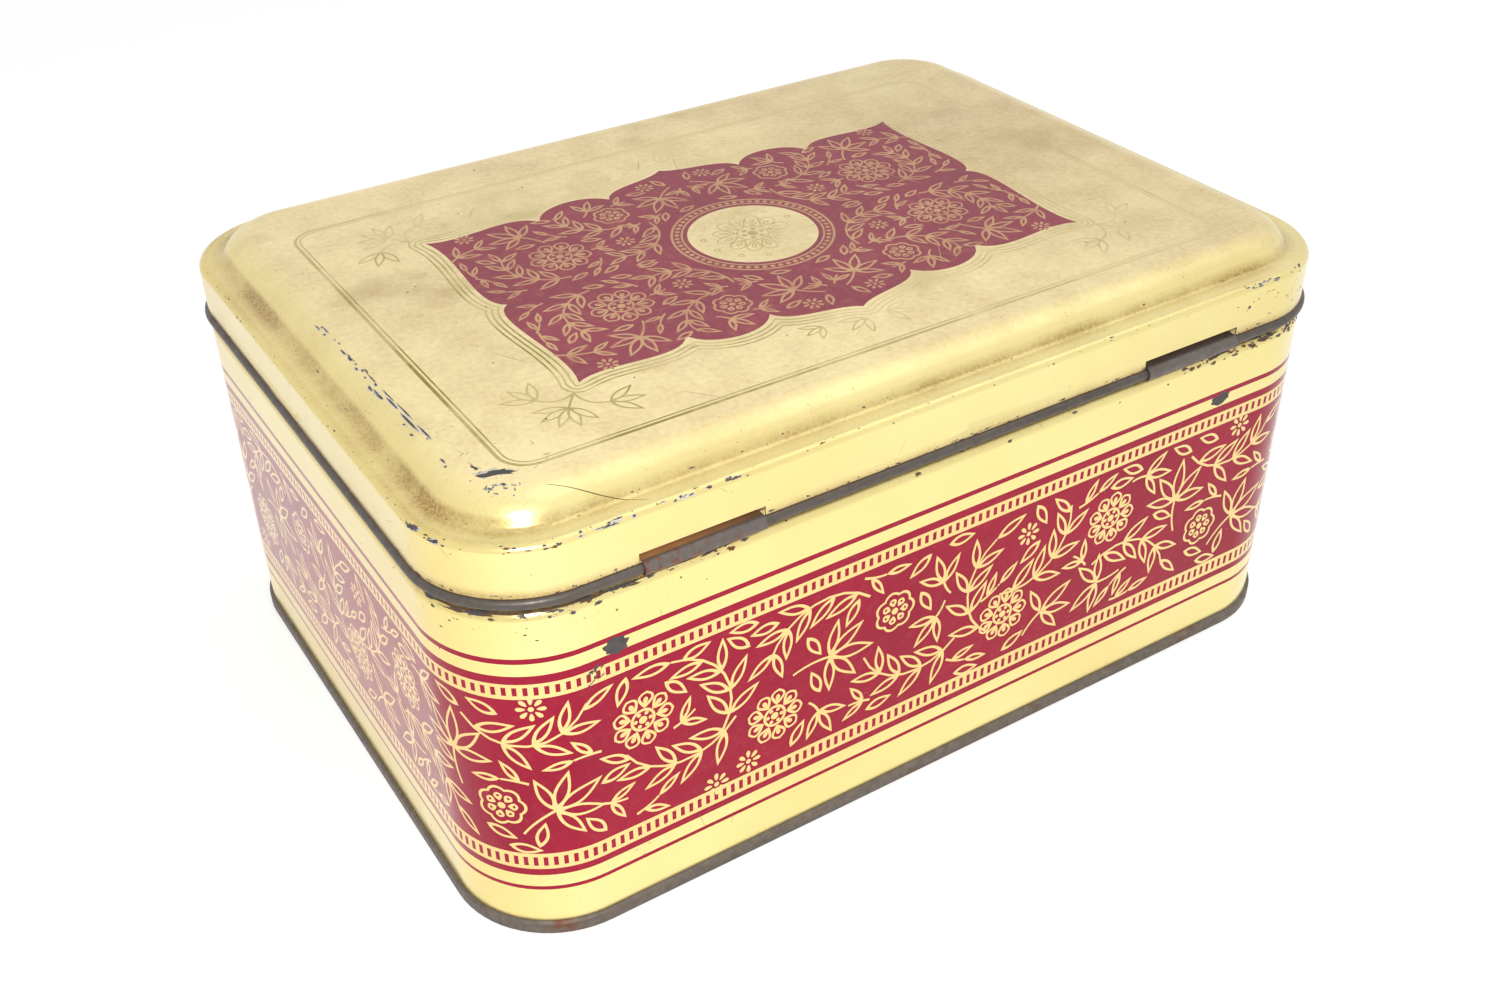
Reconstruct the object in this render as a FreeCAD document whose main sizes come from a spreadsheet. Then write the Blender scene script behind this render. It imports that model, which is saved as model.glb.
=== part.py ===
"""Hinged tinplate box: seamed wall, double-seamed bottom, drawn lid and two strap hinges.

Millimetres, +Z up. The origin is the centre of the plane that the box rests on, X runs along the
long side, and the hinges are on the +Y side.
"""
import FreeCAD
import Part
import Sketcher
import math
import os
from enum import IntEnum

# Driving sizes, one cell each on the sheet called Sizes.
SIZES = {
    "body_length": 220.0,      # outside of the wall along X
    "body_depth": 160.0,       # outside of the wall along Y
    "corner_radius": 23.0,     # outside of the wall in plan
    "plate": 0.25,             # tinplate of the wall, bottom and lid
    "wall_height": 82.3,       # top of the wall's shoulder
    "shoulder_radius": 2.5,    # wall turning in under the lid, up to the neck
    "hem_height": 3.0,         # neck's edge folded inward
    "seam_height": 3.0,        # double seam round the bottom
    "seam_bevel": 0.5,         # upper edge of the double seam
    "leaf_gap": 0.02,          # between plates that are pressed or soldered together
    "hook_room": 0.25,         # free end of each hook inside the double seam
    "bottom_recess": 2.6,      # underside of the bottom panel above the resting plane
    "floor_lap": 2.0,          # flat rim of the bottom panel next to its wall
    "side_seam_width": 6.0,    # locked seam inside the wall
    "side_seam_leaf": 0.5,     # how far that seam stands into the box
    "side_seam_groove": 0.5,   # width of its line outside
    "groove_sink": 0.1,        # depth of that line
    "side_seam_margin": 1.0,   # seam's ends from the bottom panel and from the shoulder
    "lid_clearance": 2.2,      # neck to the inside of the lid's skirt
    "lid_gap": 0.9,            # wall's shoulder to the underside of the lid's curl
    "lid_rest": 0.1,           # neck's rim to the underside of the lid's ledge
    "bead_radius": 1.15,       # outward curl round the lid's edge
    "bead_reach": 60.0,        # how far its round goes below its centre, in degrees
    "skirt_height": 12.3,      # curl's centre up to the ledge
    "crest_radius": 1.5,       # skirt turning into the ledge
    "ledge_width": 4.2,        # skirt's face to the start of the valley's curve
    "valley_radius": 1.5,      # ledge turning up into the slope
    "slope_angle": 50.0,       # slope of the raised panel's side, in degrees
    "panel_rise": 5.1,         # ledge up to the panel
    "panel_radius": 8.0,       # slope turning into the panel
    "panel_lap": 2.0,          # flat rim of the panel next to its curve
    "hinge_inset": 12.5,       # side of each strap to the corner's curve
    "strap_width": 26.0,       # along X
    "strap_plate": 0.3,        # plate of the straps
    "strap_wrap": 230.0,       # how far a strap goes round the curl, in degrees
    "strap_leg": 6.0,          # leg soldered inside the neck
    "hinge_play": 0.2,         # curl to the inside of a strap's loop
    "slit_play": 0.15,         # strap to the edges of its slit in the neck
    "slot_play": 0.5,          # strap to the sides of its slot in the lid
    "slot_rise": 3.3,          # curl's centre up to the top of the slot
    "slot_bite": 0.05,         # slot's lower edge below the top of the curl
}

# Places worked out from the sizes, one cell each on the sheet called Places. The profiles are drawn
# where the middle of the +Y side is cut through, so *_y cells are distances from the middle plane.
PLACES = {
    # wall with its hook, shoulder, neck and hem
    "wall_face": "Sizes.body_depth / 2",
    "wall_back": "wall_face - Sizes.plate",
    "hook_bottom": "Sizes.plate + Sizes.leaf_gap",
    "hook_floor": "hook_bottom + Sizes.plate",
    "hook_inner": "wall_face + Sizes.plate + 2 * Sizes.leaf_gap",
    "hook_outer": "hook_inner + Sizes.plate",
    "hook_top": "Sizes.seam_height - Sizes.plate - Sizes.hook_room",
    "shoulder_low": "Sizes.wall_height - Sizes.shoulder_radius",
    "shoulder_under": "Sizes.wall_height - Sizes.plate",
    "neck_face": "wall_face - Sizes.shoulder_radius",
    "neck_back": "neck_face - Sizes.plate",
    "shoulder_bend": "(Sizes.shoulder_radius - Sizes.plate) * cos(45)",
    "shoulder_bend_y": "neck_face + shoulder_bend",
    "shoulder_bend_z": "shoulder_low + shoulder_bend",
    "hem_back": "neck_back - Sizes.plate",
    # lid from its curl up to the panel
    "skirt_back": "neck_face + Sizes.lid_clearance",
    "skirt_face": "skirt_back + Sizes.plate",
    "bead_low": "Sizes.wall_height + Sizes.lid_gap",
    "bead_z": "bead_low + Sizes.bead_radius * sin(Sizes.bead_reach)",
    "bead_flat": "skirt_back + Sizes.bead_radius * cos(Sizes.bead_reach)",
    "skirt_low": "bead_z + sqrt(Sizes.bead_radius ^ 2 - Sizes.plate ^ 2)",
    "crest": "bead_z + Sizes.skirt_height",
    "crest_under": "crest - Sizes.plate",
    "crest_y": "skirt_face - Sizes.crest_radius",
    "crest_z": "crest - Sizes.crest_radius",
    "crest_bend": "(Sizes.crest_radius - Sizes.plate) * cos(45)",
    "crest_bend_y": "crest_y + crest_bend",
    "crest_bend_z": "crest_z + crest_bend",
    "valley_y": "skirt_face - Sizes.ledge_width",
    "valley_z": "crest + Sizes.valley_radius",
    "valley_under": "valley_y - (Sizes.valley_radius + Sizes.plate) * tan(Sizes.slope_angle / 2)",
    "panel_top": "crest + Sizes.panel_rise",
    "panel_under": "panel_top - Sizes.plate",
    "panel_z": "panel_top - Sizes.panel_radius",
    "panel_core": "Sizes.panel_radius - Sizes.plate",
    "slope_drop": "(panel_z - valley_z) * cos(Sizes.slope_angle)",
    "slope_run": "Sizes.panel_radius + Sizes.valley_radius + slope_drop",
    "panel_y": "valley_y - slope_run / sin(Sizes.slope_angle)",
    "slope_low_y": "valley_y - Sizes.valley_radius * sin(Sizes.slope_angle)",
    "slope_low_z": "valley_z - Sizes.valley_radius * cos(Sizes.slope_angle)",
    "slope_high_y": "panel_y + Sizes.panel_radius * sin(Sizes.slope_angle)",
    "slope_high_z": "panel_z + Sizes.panel_radius * cos(Sizes.slope_angle)",
    "under_high_y": "panel_y + panel_core * sin(Sizes.slope_angle)",
    "under_high_z": "panel_z + panel_core * cos(Sizes.slope_angle)",
    "panel_bend_y": "panel_y + panel_core * sin(Sizes.slope_angle / 2)",
    "panel_bend_z": "panel_z + panel_core * cos(Sizes.slope_angle / 2)",
    "panel_rim": "panel_y - Sizes.panel_lap",
    "panel_inset": "wall_face - panel_rim - Sizes.panel_lap / 2",
    "panel_length": "Sizes.body_length - 2 * panel_inset",
    "panel_depth": "Sizes.body_depth - 2 * panel_inset",
    "panel_corner": "Sizes.corner_radius - panel_inset",
    # neck's rim, just under the lid's ledge
    "rim_top": "crest_under - Sizes.lid_rest",
    "hem_low": "rim_top - Sizes.hem_height",
    # bottom with the other half of the double seam
    "cover_inner": "wall_face + Sizes.leaf_gap",
    "cover_outer": "cover_inner + Sizes.plate",
    "cover_low": "hook_floor + Sizes.hook_room",
    "seam_under": "Sizes.seam_height - Sizes.plate",
    "seam_inner": "hook_outer + Sizes.leaf_gap",
    "seam_outer": "seam_inner + Sizes.plate",
    "seam_edge": "seam_outer - Sizes.seam_bevel",
    "seam_high": "Sizes.seam_height - Sizes.seam_bevel",
    "chuck_face": "wall_back - Sizes.leaf_gap",
    "chuck_back": "chuck_face - Sizes.plate",
    "floor_top": "Sizes.bottom_recess + Sizes.plate",
    "floor_rim": "chuck_back - Sizes.floor_lap",
    "floor_inset": "wall_face - floor_rim - Sizes.floor_lap / 2",
    "floor_length": "Sizes.body_length - 2 * floor_inset",
    "floor_depth": "Sizes.body_depth - 2 * floor_inset",
    "floor_corner": "Sizes.corner_radius - floor_inset",
    # straps, with their slits in the neck and slots in the lid
    "loop_inner": "Sizes.bead_radius + Sizes.hinge_play",
    "loop_outer": "loop_inner + Sizes.strap_plate",
    "leg_under": "bead_z + loop_inner",
    "leg_top": "bead_z + loop_outer",
    "strap_face": "neck_back - Sizes.leaf_gap",
    "strap_back": "strap_face - Sizes.strap_plate",
    "bend_y": "strap_back + Sizes.strap_plate",
    "bend_z": "leg_under + Sizes.strap_plate",
    "strap_top": "leg_top + Sizes.strap_leg",
    "loop_end_y": "skirt_back + loop_inner * cos(90 - Sizes.strap_wrap)",
    "loop_end_z": "bead_z + loop_inner * sin(90 - Sizes.strap_wrap)",
    "tip_y": "skirt_back + loop_outer * cos(90 - Sizes.strap_wrap)",
    "tip_z": "bead_z + loop_outer * sin(90 - Sizes.strap_wrap)",
    "strap_far": "Sizes.body_length / 2 - Sizes.corner_radius - Sizes.hinge_inset",
    "strap_near": "strap_far - Sizes.strap_width",
    "strap_x": "(strap_near + strap_far) / 2",
    "slit_near": "strap_near - Sizes.slit_play",
    "slit_far": "strap_far + Sizes.slit_play",
    "slit_low": "leg_under - Sizes.slit_play",
    "slit_high": "leg_top + Sizes.slit_play",
    "slot_near": "strap_near - Sizes.slot_play",
    "slot_far": "strap_far + Sizes.slot_play",
    "slot_low": "bead_z + Sizes.bead_radius - Sizes.slot_bite",
    "slot_high": "bead_z + Sizes.slot_rise",
    # locked side seam on the -X side
    "side_face": "Sizes.body_length / 2",
    "side_core": "side_face - Sizes.plate / 2",
    "side_leaf": "side_face - Sizes.plate - Sizes.side_seam_leaf",
    "side_groove": "side_face - Sizes.groove_sink",
    "side_out": "side_face + Sizes.plate",
    "side_half": "Sizes.side_seam_width / 2",
    "groove_half": "Sizes.side_seam_groove / 2",
    "side_low": "floor_top + Sizes.side_seam_margin",
    "side_rise": "shoulder_low - Sizes.side_seam_margin - side_low",
}

SHORT, LARGE = "short", "large"     # which way round an arc goes between its ends


class Axis(IntEnum):
    """Numbers of a sketch's own two axes."""

    X = -1
    Y = -2


class End(IntEnum):
    """Numbers of a curve's two ends."""

    START = 1
    STOP = 2


ORIGIN = (Axis.X, End.START)     # an axis starts at the sketch's origin


class Book:
    """The two sheets, read as numbers and named in expressions."""

    def __init__(self, doc):
        self.doc = doc
        self.sheets = {}
        self.add("Sizes", {name: str(value) for name, value in SIZES.items()})
        self.add("Places", {name: "=" + formula for name, formula in PLACES.items()})

    def add(self, label, cells):
        """Fill one sheet with a row per name: the name, then its aliased cell."""
        sheet = self.doc.addObject("Spreadsheet::Sheet", label)
        for row, (name, text) in enumerate(cells.items(), start=1):
            sheet.set(f"A{row}", name)
            sheet.set(f"B{row}", text)
            sheet.setAlias(f"B{row}", name)
            self.sheets[name] = sheet
        self.doc.recompute()

    def value(self, name):
        """Number in the named cell."""
        return float(self.sheets[name].get(name))

    def path(self, name):
        """The named cell as an expression."""
        return f"{self.sheets[name].Name}.{name}"


def origin_plane(body, role):
    """One of the body's own origin planes, found by its role."""
    return next(plane for plane in body.Origin.OriginFeatures if plane.Role == role)


def new_sketch(body, name, role, book, height=None):
    """Sketch on an origin plane of its body, raised by the cell called height."""
    sketch = body.newObject("Sketcher::SketchObject", name)
    sketch.AttachmentSupport = [(origin_plane(body, role), "")]
    sketch.MapMode = "FlatFace"
    if height:
        sketch.setExpression("AttachmentOffset.Base.z", book.path(height))
    return sketch


def bind(sketch, constraint, cell, book):
    """Add a dimension to a sketch and tie it to a cell."""
    index = sketch.addConstraint(constraint)
    sketch.setExpression(f"Constraints[{index}]", book.path(cell))


def pin(sketch, geometry, point, cell_x, cell_y, book):
    """Hold a point of a sketch at the place that two cells give, or on the axis for None."""
    if cell_x is None:
        sketch.addConstraint(Sketcher.Constraint("PointOnObject", geometry, point, Axis.Y))
    else:
        distance = Sketcher.Constraint("DistanceX", *ORIGIN, geometry, point, book.value(cell_x))
        bind(sketch, distance, cell_x, book)
    if cell_y is None:
        sketch.addConstraint(Sketcher.Constraint("PointOnObject", geometry, point, Axis.X))
    else:
        distance = Sketcher.Constraint("DistanceY", *ORIGIN, geometry, point, book.value(cell_y))
        bind(sketch, distance, cell_y, book)


def arc_between(first, last, radius, turn, reach):
    """Arc from one point to another, turning left (1) or right (-1), the short or the large way."""
    chord = last - first
    half = chord.Length / 2
    rise = math.sqrt(max(radius * radius - half * half, 0.0))
    left = FreeCAD.Vector(-chord.y, chord.x, 0).normalize()
    side = turn * (-1 if reach == LARGE else 1)
    centre = (first + last) / 2 + left * (rise * side)
    circle = Part.Circle(centre, FreeCAD.Vector(0, 0, 1), radius)
    begin, finish = (first, last) if turn > 0 else (last, first)
    start = math.atan2(begin.y - centre.y, begin.x - centre.x)
    stop = math.atan2(finish.y - centre.y, finish.x - centre.x)
    return Part.ArcOfCircle(circle, start, stop + (2 * math.pi if stop <= start else 0))


def trace(sketch, corners, book):
    """Draw a closed outline through corners held by cells.

    Each corner is (cell across, cell up, bend to the next corner). A bend is None for a straight
    line, or (radius cell, turn, reach) for an arc.
    """
    points = [FreeCAD.Vector(book.value(x), book.value(y) if y else 0, 0) for x, y, _ in corners]
    starts = []
    ends = []
    for number, (_, _, bend) in enumerate(corners):
        first = points[number]
        last = points[(number + 1) % len(points)]
        if bend is None:
            index = sketch.addGeometry(Part.LineSegment(first, last), False)
            order = (End.START, End.STOP)
        else:
            radius, turn, reach = bend
            index = sketch.addGeometry(arc_between(first, last, book.value(radius), turn, reach), False)
            order = (End.START, End.STOP) if turn > 0 else (End.STOP, End.START)
        starts.append((index, order[0]))
        ends.append((index, order[1]))
    for end, start in zip(ends, starts[1:] + starts[:1]):
        sketch.addConstraint(Sketcher.Constraint("Coincident", *end, *start))
    for (index, point), (x, y, bend) in zip(starts, corners):
        pin(sketch, index, point, x, y, book)
        if bend:
            bind(sketch, Sketcher.Constraint("Radius", index, book.value(bend[0])), bend[0], book)


def rounded_rectangle(sketch, length, depth, radius, book):
    """Rounded rectangle about the origin, begun at the middle of its +Y side."""
    half_x, half_y, round_off = book.value(length) / 2, book.value(depth) / 2, book.value(radius)
    in_x, in_y = half_x - round_off, half_y - round_off
    vector = FreeCAD.Vector
    lines = (
        (vector(0, half_y), vector(-in_x, half_y)),
        (vector(-half_x, in_y), vector(-half_x, -in_y)),
        (vector(-in_x, -half_y), vector(in_x, -half_y)),
        (vector(half_x, -in_y), vector(half_x, in_y)),
        (vector(in_x, half_y), vector(0, half_y)),
    )
    turns = ((-in_x, in_y, 90), (-in_x, -in_y, 180), (in_x, -in_y, 270), (in_x, in_y, 0))
    order = []
    for number, (first, last) in enumerate(lines):
        order.append(sketch.addGeometry(Part.LineSegment(first, last), False))
        if number < len(turns):
            x, y, angle = turns[number]
            circle = Part.Circle(vector(x, y), vector(0, 0, 1), round_off)
            arc = Part.ArcOfCircle(circle, math.radians(angle), math.radians(angle + 90))
            order.append(sketch.addGeometry(arc, False))
    rear_left, left, front, right, rear_right = order[0::2]
    arcs = order[1::2]
    for first, last in zip(order, order[1:]):
        sketch.addConstraint(Sketcher.Constraint("Tangent", first, End.STOP, last, End.START))
    sketch.addConstraint(Sketcher.Constraint("Coincident", rear_right, End.STOP, rear_left, End.START))
    for line in (rear_left, front, rear_right):
        sketch.addConstraint(Sketcher.Constraint("Horizontal", line))
    for line in (left, right):
        sketch.addConstraint(Sketcher.Constraint("Vertical", line))
    for arc in arcs[1:]:
        sketch.addConstraint(Sketcher.Constraint("Equal", arcs[0], arc))
    sketch.addConstraint(Sketcher.Constraint("Symmetric", left, End.START, right, End.START, *ORIGIN))
    sketch.addConstraint(Sketcher.Constraint("PointOnObject", rear_left, End.START, Axis.Y))
    bind(sketch, Sketcher.Constraint("Radius", arcs[0], round_off), radius, book)
    across = Sketcher.Constraint("DistanceX", left, End.START, right, End.STOP, 2 * half_x)
    bind(sketch, across, length, book)
    through = Sketcher.Constraint("DistanceY", front, End.START, rear_left, End.START, 2 * half_y)
    bind(sketch, through, depth, book)


def box_outline(sketch, x, y):
    """Rectangle between two values of x and two of y; its bottom, right, top and left lines."""
    ring = ((x[0], y[0]), (x[1], y[0]), (x[1], y[1]), (x[0], y[1]))
    corners = [FreeCAD.Vector(*corner, 0) for corner in ring]
    lines = zip(corners, corners[1:] + corners[:1])
    edges = [sketch.addGeometry(Part.LineSegment(first, last), False) for first, last in lines]
    for edge, after in zip(edges, edges[1:] + edges[:1]):
        sketch.addConstraint(Sketcher.Constraint("Coincident", edge, End.STOP, after, End.START))
    for direction, pair in (("Horizontal", edges[0::2]), ("Vertical", edges[1::2])):
        for edge in pair:
            sketch.addConstraint(Sketcher.Constraint(direction, edge))
    return edges


def rear_openings(sketch, near, far, low, high, book):
    """Two rectangles at equal distances either side of the middle, between four cells."""
    for side in (1, -1):
        x = (side * book.value(near), side * book.value(far))
        bottom, right, top, _ = box_outline(sketch, x, (book.value(low), book.value(high)))
        for edge, cell in ((bottom, near), (right, far)):
            point = (edge, End.START)
            ends = (*ORIGIN, *point) if side > 0 else (*point, *ORIGIN)
            bind(sketch, Sketcher.Constraint("DistanceX", *ends, book.value(cell)), cell, book)
        for edge, cell in ((bottom, low), (top, high)):
            height = Sketcher.Constraint("DistanceY", *ORIGIN, edge, End.START, book.value(cell))
            bind(sketch, height, cell, book)


def new_body(doc, label):
    """Body whose label names the piece and its file."""
    body = doc.addObject("PartDesign::Body", label)
    body.Label = label
    return body


def swept_ring(body, name, profile, book):
    """Sweep a profile sketch round the box, along the outline of the wall in plan."""
    spine = new_sketch(body, name + "_path", "XY_Plane", book)
    rounded_rectangle(spine, "body_length", "body_depth", "corner_radius", book)
    body.Document.recompute()
    pipe = body.newObject("PartDesign::AdditivePipe", name)
    pipe.Profile = profile
    pipe.Spine = spine
    body.Document.recompute()
    return pipe


def flat_plate(body, name, size, height, book):
    """Pad a rounded rectangle of the box's plate at the given height."""
    sketch = new_sketch(body, name + "_plan", "XY_Plane", book, height)
    rounded_rectangle(sketch, *size, book)
    pad = body.newObject("PartDesign::Pad", name)
    pad.Profile = sketch
    pad.setExpression("Length", book.path("plate"))
    body.Document.recompute()
    return pad


def cut_rear(body, name, near, far, low, high, book):
    """Cut the pair of openings for the straps through the +Y side only."""
    sketch = new_sketch(body, name + "_outline", "XZ_Plane", book)
    rear_openings(sketch, near, far, low, high, book)
    body.Document.recompute()
    before = body.Tip.Shape.copy()
    pocket = body.newObject("PartDesign::Pocket", name)
    pocket.Profile = sketch
    pocket.setExpression("Length", book.path("body_depth"))
    body.Document.recompute()
    removed = before.cut(pocket.Shape)
    if removed.Volume <= 0 or removed.BoundBox.YMin < 0:
        pocket.Reversed = True
        body.Document.recompute()
    return pocket


def build_wall(doc, book):
    """Wall strip: hook, shoulder, neck and hem swept round, slits for the straps and the side seam."""
    body = new_body(doc, "body_wall")
    profile = new_sketch(body, "wall_profile", "YZ_Plane", book)
    trace(
        profile,
        (
            ("hook_outer", "hook_bottom", None),
            ("hook_outer", "hook_top", None),
            ("hook_inner", "hook_top", None),
            ("hook_inner", "hook_floor", None),
            ("wall_face", "hook_floor", None),
            ("wall_face", "shoulder_low", ("shoulder_radius", 1, SHORT)),
            ("neck_face", "wall_height", None),
            ("neck_face", "rim_top", None),
            ("hem_back", "rim_top", None),
            ("hem_back", "hem_low", None),
            ("neck_back", "hem_low", None),
            ("neck_back", "shoulder_under", None),
            ("shoulder_bend_y", "shoulder_bend_z", None),
            ("wall_back", "shoulder_low", None),
            ("wall_back", "hook_bottom", None),
        ),
        book,
    )
    swept_ring(body, "wall_strip", profile, book)
    cut_rear(body, "strap_slits", "slit_near", "slit_far", "slit_low", "slit_high", book)
    for name, kind, box in (
        ("side_seam", "PartDesign::Pad", ("side_core", "side_leaf", "side_half")),
        ("side_seam_line", "PartDesign::Pocket", ("side_out", "side_groove", "groove_half")),
    ):
        side_feature(body, name, kind, box, book)
    return body


def side_feature(body, name, kind, box, book):
    """Upright strip on the -X side: two cells across X and half its width along Y."""
    outer, inner, half = box
    sketch = new_sketch(body, name + "_plan", "XY_Plane", book, "side_low")
    x = (-book.value(outer), -book.value(inner))
    y = (-book.value(half), book.value(half))
    bottom, right, top, _ = box_outline(sketch, x, y)
    for ends in ((bottom, End.START, *ORIGIN), (*ORIGIN, top, End.START)):
        bind(sketch, Sketcher.Constraint("DistanceY", *ends, book.value(half)), half, book)
    for edge, cell in ((bottom, outer), (right, inner)):
        distance = Sketcher.Constraint("DistanceX", edge, End.START, *ORIGIN, book.value(cell))
        bind(sketch, distance, cell, book)
    body.Document.recompute()
    feature = body.newObject(kind, name)
    feature.Profile = sketch
    feature.setExpression("Length", book.path("side_rise"))
    feature.Reversed = kind.endswith("Pocket")
    body.Document.recompute()
    return feature


def build_bottom(doc, book):
    """Bottom plate: outer half of the double seam with its hook, inner wall and sunk panel."""
    body = new_body(doc, "bottom_plate")
    profile = new_sketch(body, "seam_profile", "YZ_Plane", book)
    trace(
        profile,
        (
            ("chuck_back", None, None),
            ("seam_outer", None, None),
            ("seam_outer", "seam_high", None),
            ("seam_edge", "seam_height", None),
            ("cover_inner", "seam_height", None),
            ("cover_inner", "cover_low", None),
            ("cover_outer", "cover_low", None),
            ("cover_outer", "seam_under", None),
            ("seam_inner", "seam_under", None),
            ("seam_inner", "plate", None),
            ("chuck_face", "plate", None),
            ("chuck_face", "floor_top", None),
            ("floor_rim", "floor_top", None),
            ("floor_rim", "bottom_recess", None),
            ("chuck_back", "bottom_recess", None),
        ),
        book,
    )
    swept_ring(body, "seam_ring", profile, book)
    size = ("floor_length", "floor_depth", "floor_corner")
    flat_plate(body, "floor_panel", size, "bottom_recess", book)
    return body


def build_lid(doc, book):
    """Lid: curled edge, skirt, ledge, slope and panel drawn from one sheet, with the strap slots."""
    body = new_body(doc, "lid")
    profile = new_sketch(body, "border_profile", "YZ_Plane", book)
    trace(
        profile,
        (
            ("skirt_back", "bead_low", None),
            ("bead_flat", "bead_low", ("bead_radius", 1, SHORT)),
            ("skirt_face", "skirt_low", None),
            ("skirt_face", "crest_z", ("crest_radius", 1, SHORT)),
            ("crest_y", "crest", None),
            ("valley_y", "crest", ("valley_radius", -1, SHORT)),
            ("slope_low_y", "slope_low_z", None),
            ("slope_high_y", "slope_high_z", ("panel_radius", 1, SHORT)),
            ("panel_y", "panel_top", None),
            ("panel_rim", "panel_top", None),
            ("panel_rim", "panel_under", None),
            ("panel_y", "panel_under", None),
            ("panel_bend_y", "panel_bend_z", None),
            ("under_high_y", "under_high_z", None),
            ("valley_under", "crest_under", None),
            ("crest_y", "crest_under", None),
            ("crest_bend_y", "crest_bend_z", None),
            ("skirt_back", "crest_z", None),
        ),
        book,
    )
    swept_ring(body, "border", profile, book)
    size = ("panel_length", "panel_depth", "panel_corner")
    flat_plate(body, "panel", size, "panel_under", book)
    cut_rear(body, "strap_slots", "slot_near", "slot_far", "slot_low", "slot_high", book)
    return body


def build_strap(doc, label, side, book):
    """Hinge strap: leg inside the neck, through its slit and round the lid's curl."""
    body = new_body(doc, label)
    body.setExpression("Placement.Base.x", f"{side} * {book.path('strap_x')}")
    profile = new_sketch(body, label + "_profile", "YZ_Plane", book)
    trace(
        profile,
        (
            ("skirt_back", "leg_top", ("loop_outer", -1, LARGE)),
            ("tip_y", "tip_z", None),
            ("loop_end_y", "loop_end_z", ("loop_inner", 1, LARGE)),
            ("skirt_back", "leg_under", None),
            ("bend_y", "leg_under", ("strap_plate", -1, SHORT)),
            ("strap_back", "bend_z", None),
            ("strap_back", "strap_top", None),
            ("strap_face", "strap_top", None),
            ("strap_face", "leg_top", None),
        ),
        book,
    )
    pad = body.newObject("PartDesign::Pad", label + "_plate")
    pad.Profile = profile
    pad.Midplane = True
    pad.setExpression("Length", book.path("strap_width"))
    doc.recompute()
    return body


def check(doc):
    """Stop if any feature failed or any piece is not one valid solid."""
    doc.recompute()
    for item in doc.Objects:
        if "Invalid" in item.State or "Error" in item.State:
            raise RuntimeError(f"{item.Label} did not recompute: {item.State}")
        if item.isDerivedFrom("Part::Feature") and not item.isDerivedFrom("Sketcher::SketchObject"):
            if item.Shape.isNull() or not item.Shape.isValid():
                raise RuntimeError(f"{item.Label} has no valid shape")


def main():
    """Build every piece, check it and write its file."""
    doc = FreeCAD.newDocument("tin_box")
    book = Book(doc)
    pieces = [
        build_wall(doc, book),
        build_bottom(doc, book),
        build_lid(doc, book),
        build_strap(doc, "hinge_strap_left", 1, book),
        build_strap(doc, "hinge_strap_right", -1, book),
    ]
    check(doc)
    os.makedirs("parts", exist_ok=True)
    for piece in pieces:
        box = piece.Shape.BoundBox
        print(f"{piece.Label}: {len(piece.Shape.Solids)} solid, {piece.Shape.Volume:.1f} mm3, "
              f"Y {box.YMin:.2f} to {box.YMax:.2f}, Z {box.ZMin:.2f} to {box.ZMax:.2f}")
        piece.Shape.exportStep(f"parts/{piece.Label}.step")


main()
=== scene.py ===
"""Visual model of a hinged, printed tinplate box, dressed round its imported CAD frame.

Sizes in the classes of the box are millimetres and become metres when a mesh is made. Places and depths in
the finishes and in the studio are metres. The frame is that of the CAD model: the origin is under the middle
of the box, +Z is up and the hinges are on the +Y side.
"""

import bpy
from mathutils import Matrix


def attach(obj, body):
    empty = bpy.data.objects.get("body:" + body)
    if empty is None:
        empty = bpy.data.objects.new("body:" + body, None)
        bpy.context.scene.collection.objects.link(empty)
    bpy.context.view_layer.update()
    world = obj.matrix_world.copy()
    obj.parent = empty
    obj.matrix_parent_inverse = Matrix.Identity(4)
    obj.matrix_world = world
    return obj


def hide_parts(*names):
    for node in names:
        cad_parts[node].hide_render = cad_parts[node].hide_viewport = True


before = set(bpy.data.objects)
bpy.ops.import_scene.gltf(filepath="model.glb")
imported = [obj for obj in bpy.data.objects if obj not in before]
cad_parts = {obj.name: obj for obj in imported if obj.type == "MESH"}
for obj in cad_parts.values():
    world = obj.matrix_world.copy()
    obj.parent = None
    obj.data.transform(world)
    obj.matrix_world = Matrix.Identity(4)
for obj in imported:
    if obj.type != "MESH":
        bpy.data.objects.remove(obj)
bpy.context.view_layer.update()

import logging
import math
from dataclasses import dataclass, field
from enum import Enum
from typing import Callable, Iterable, Iterator, Optional, Sequence, Union

import bpy
import numpy as np
from mathutils import Matrix, Vector
from mathutils.geometry import delaunay_2d_cdt

MM = 0.001
UV_NAME = "OFBake"
LOG = logging.getLogger("tin_box")
WHITE = (1.0, 1.0, 1.0, 1.0)
GLOSS_CLOUDS = (0.25, 0.75)

Points = np.ndarray
Colour = tuple[float, float, float]
Socket = bpy.types.NodeSocket
# Two values and the two that they become, which are 0 and 1 if not given.
Span = tuple[float, ...]
Pairs = tuple[tuple[float, float], ...]
# Two distances round the box and two up or along a section.
Opening = tuple[float, float, float, float]
# Age at both ends of a stretch, then dirt and painted shade at both ends.
Wear = tuple[float, float, float, float]
# A least value, what a random number from 0 to 1 adds to it, and the power of that number if not 1.
Draw = tuple[float, ...]


def srgb(red: int, green: int, blue: int) -> Colour:
    """Linear colour of three display values from 0 to 255."""
    return tuple(v / 12.92 if v <= 0.04045 else ((v + 0.055) / 1.055) ** 2.4
                 for v in (red / 255, green / 255, blue / 255))


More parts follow.
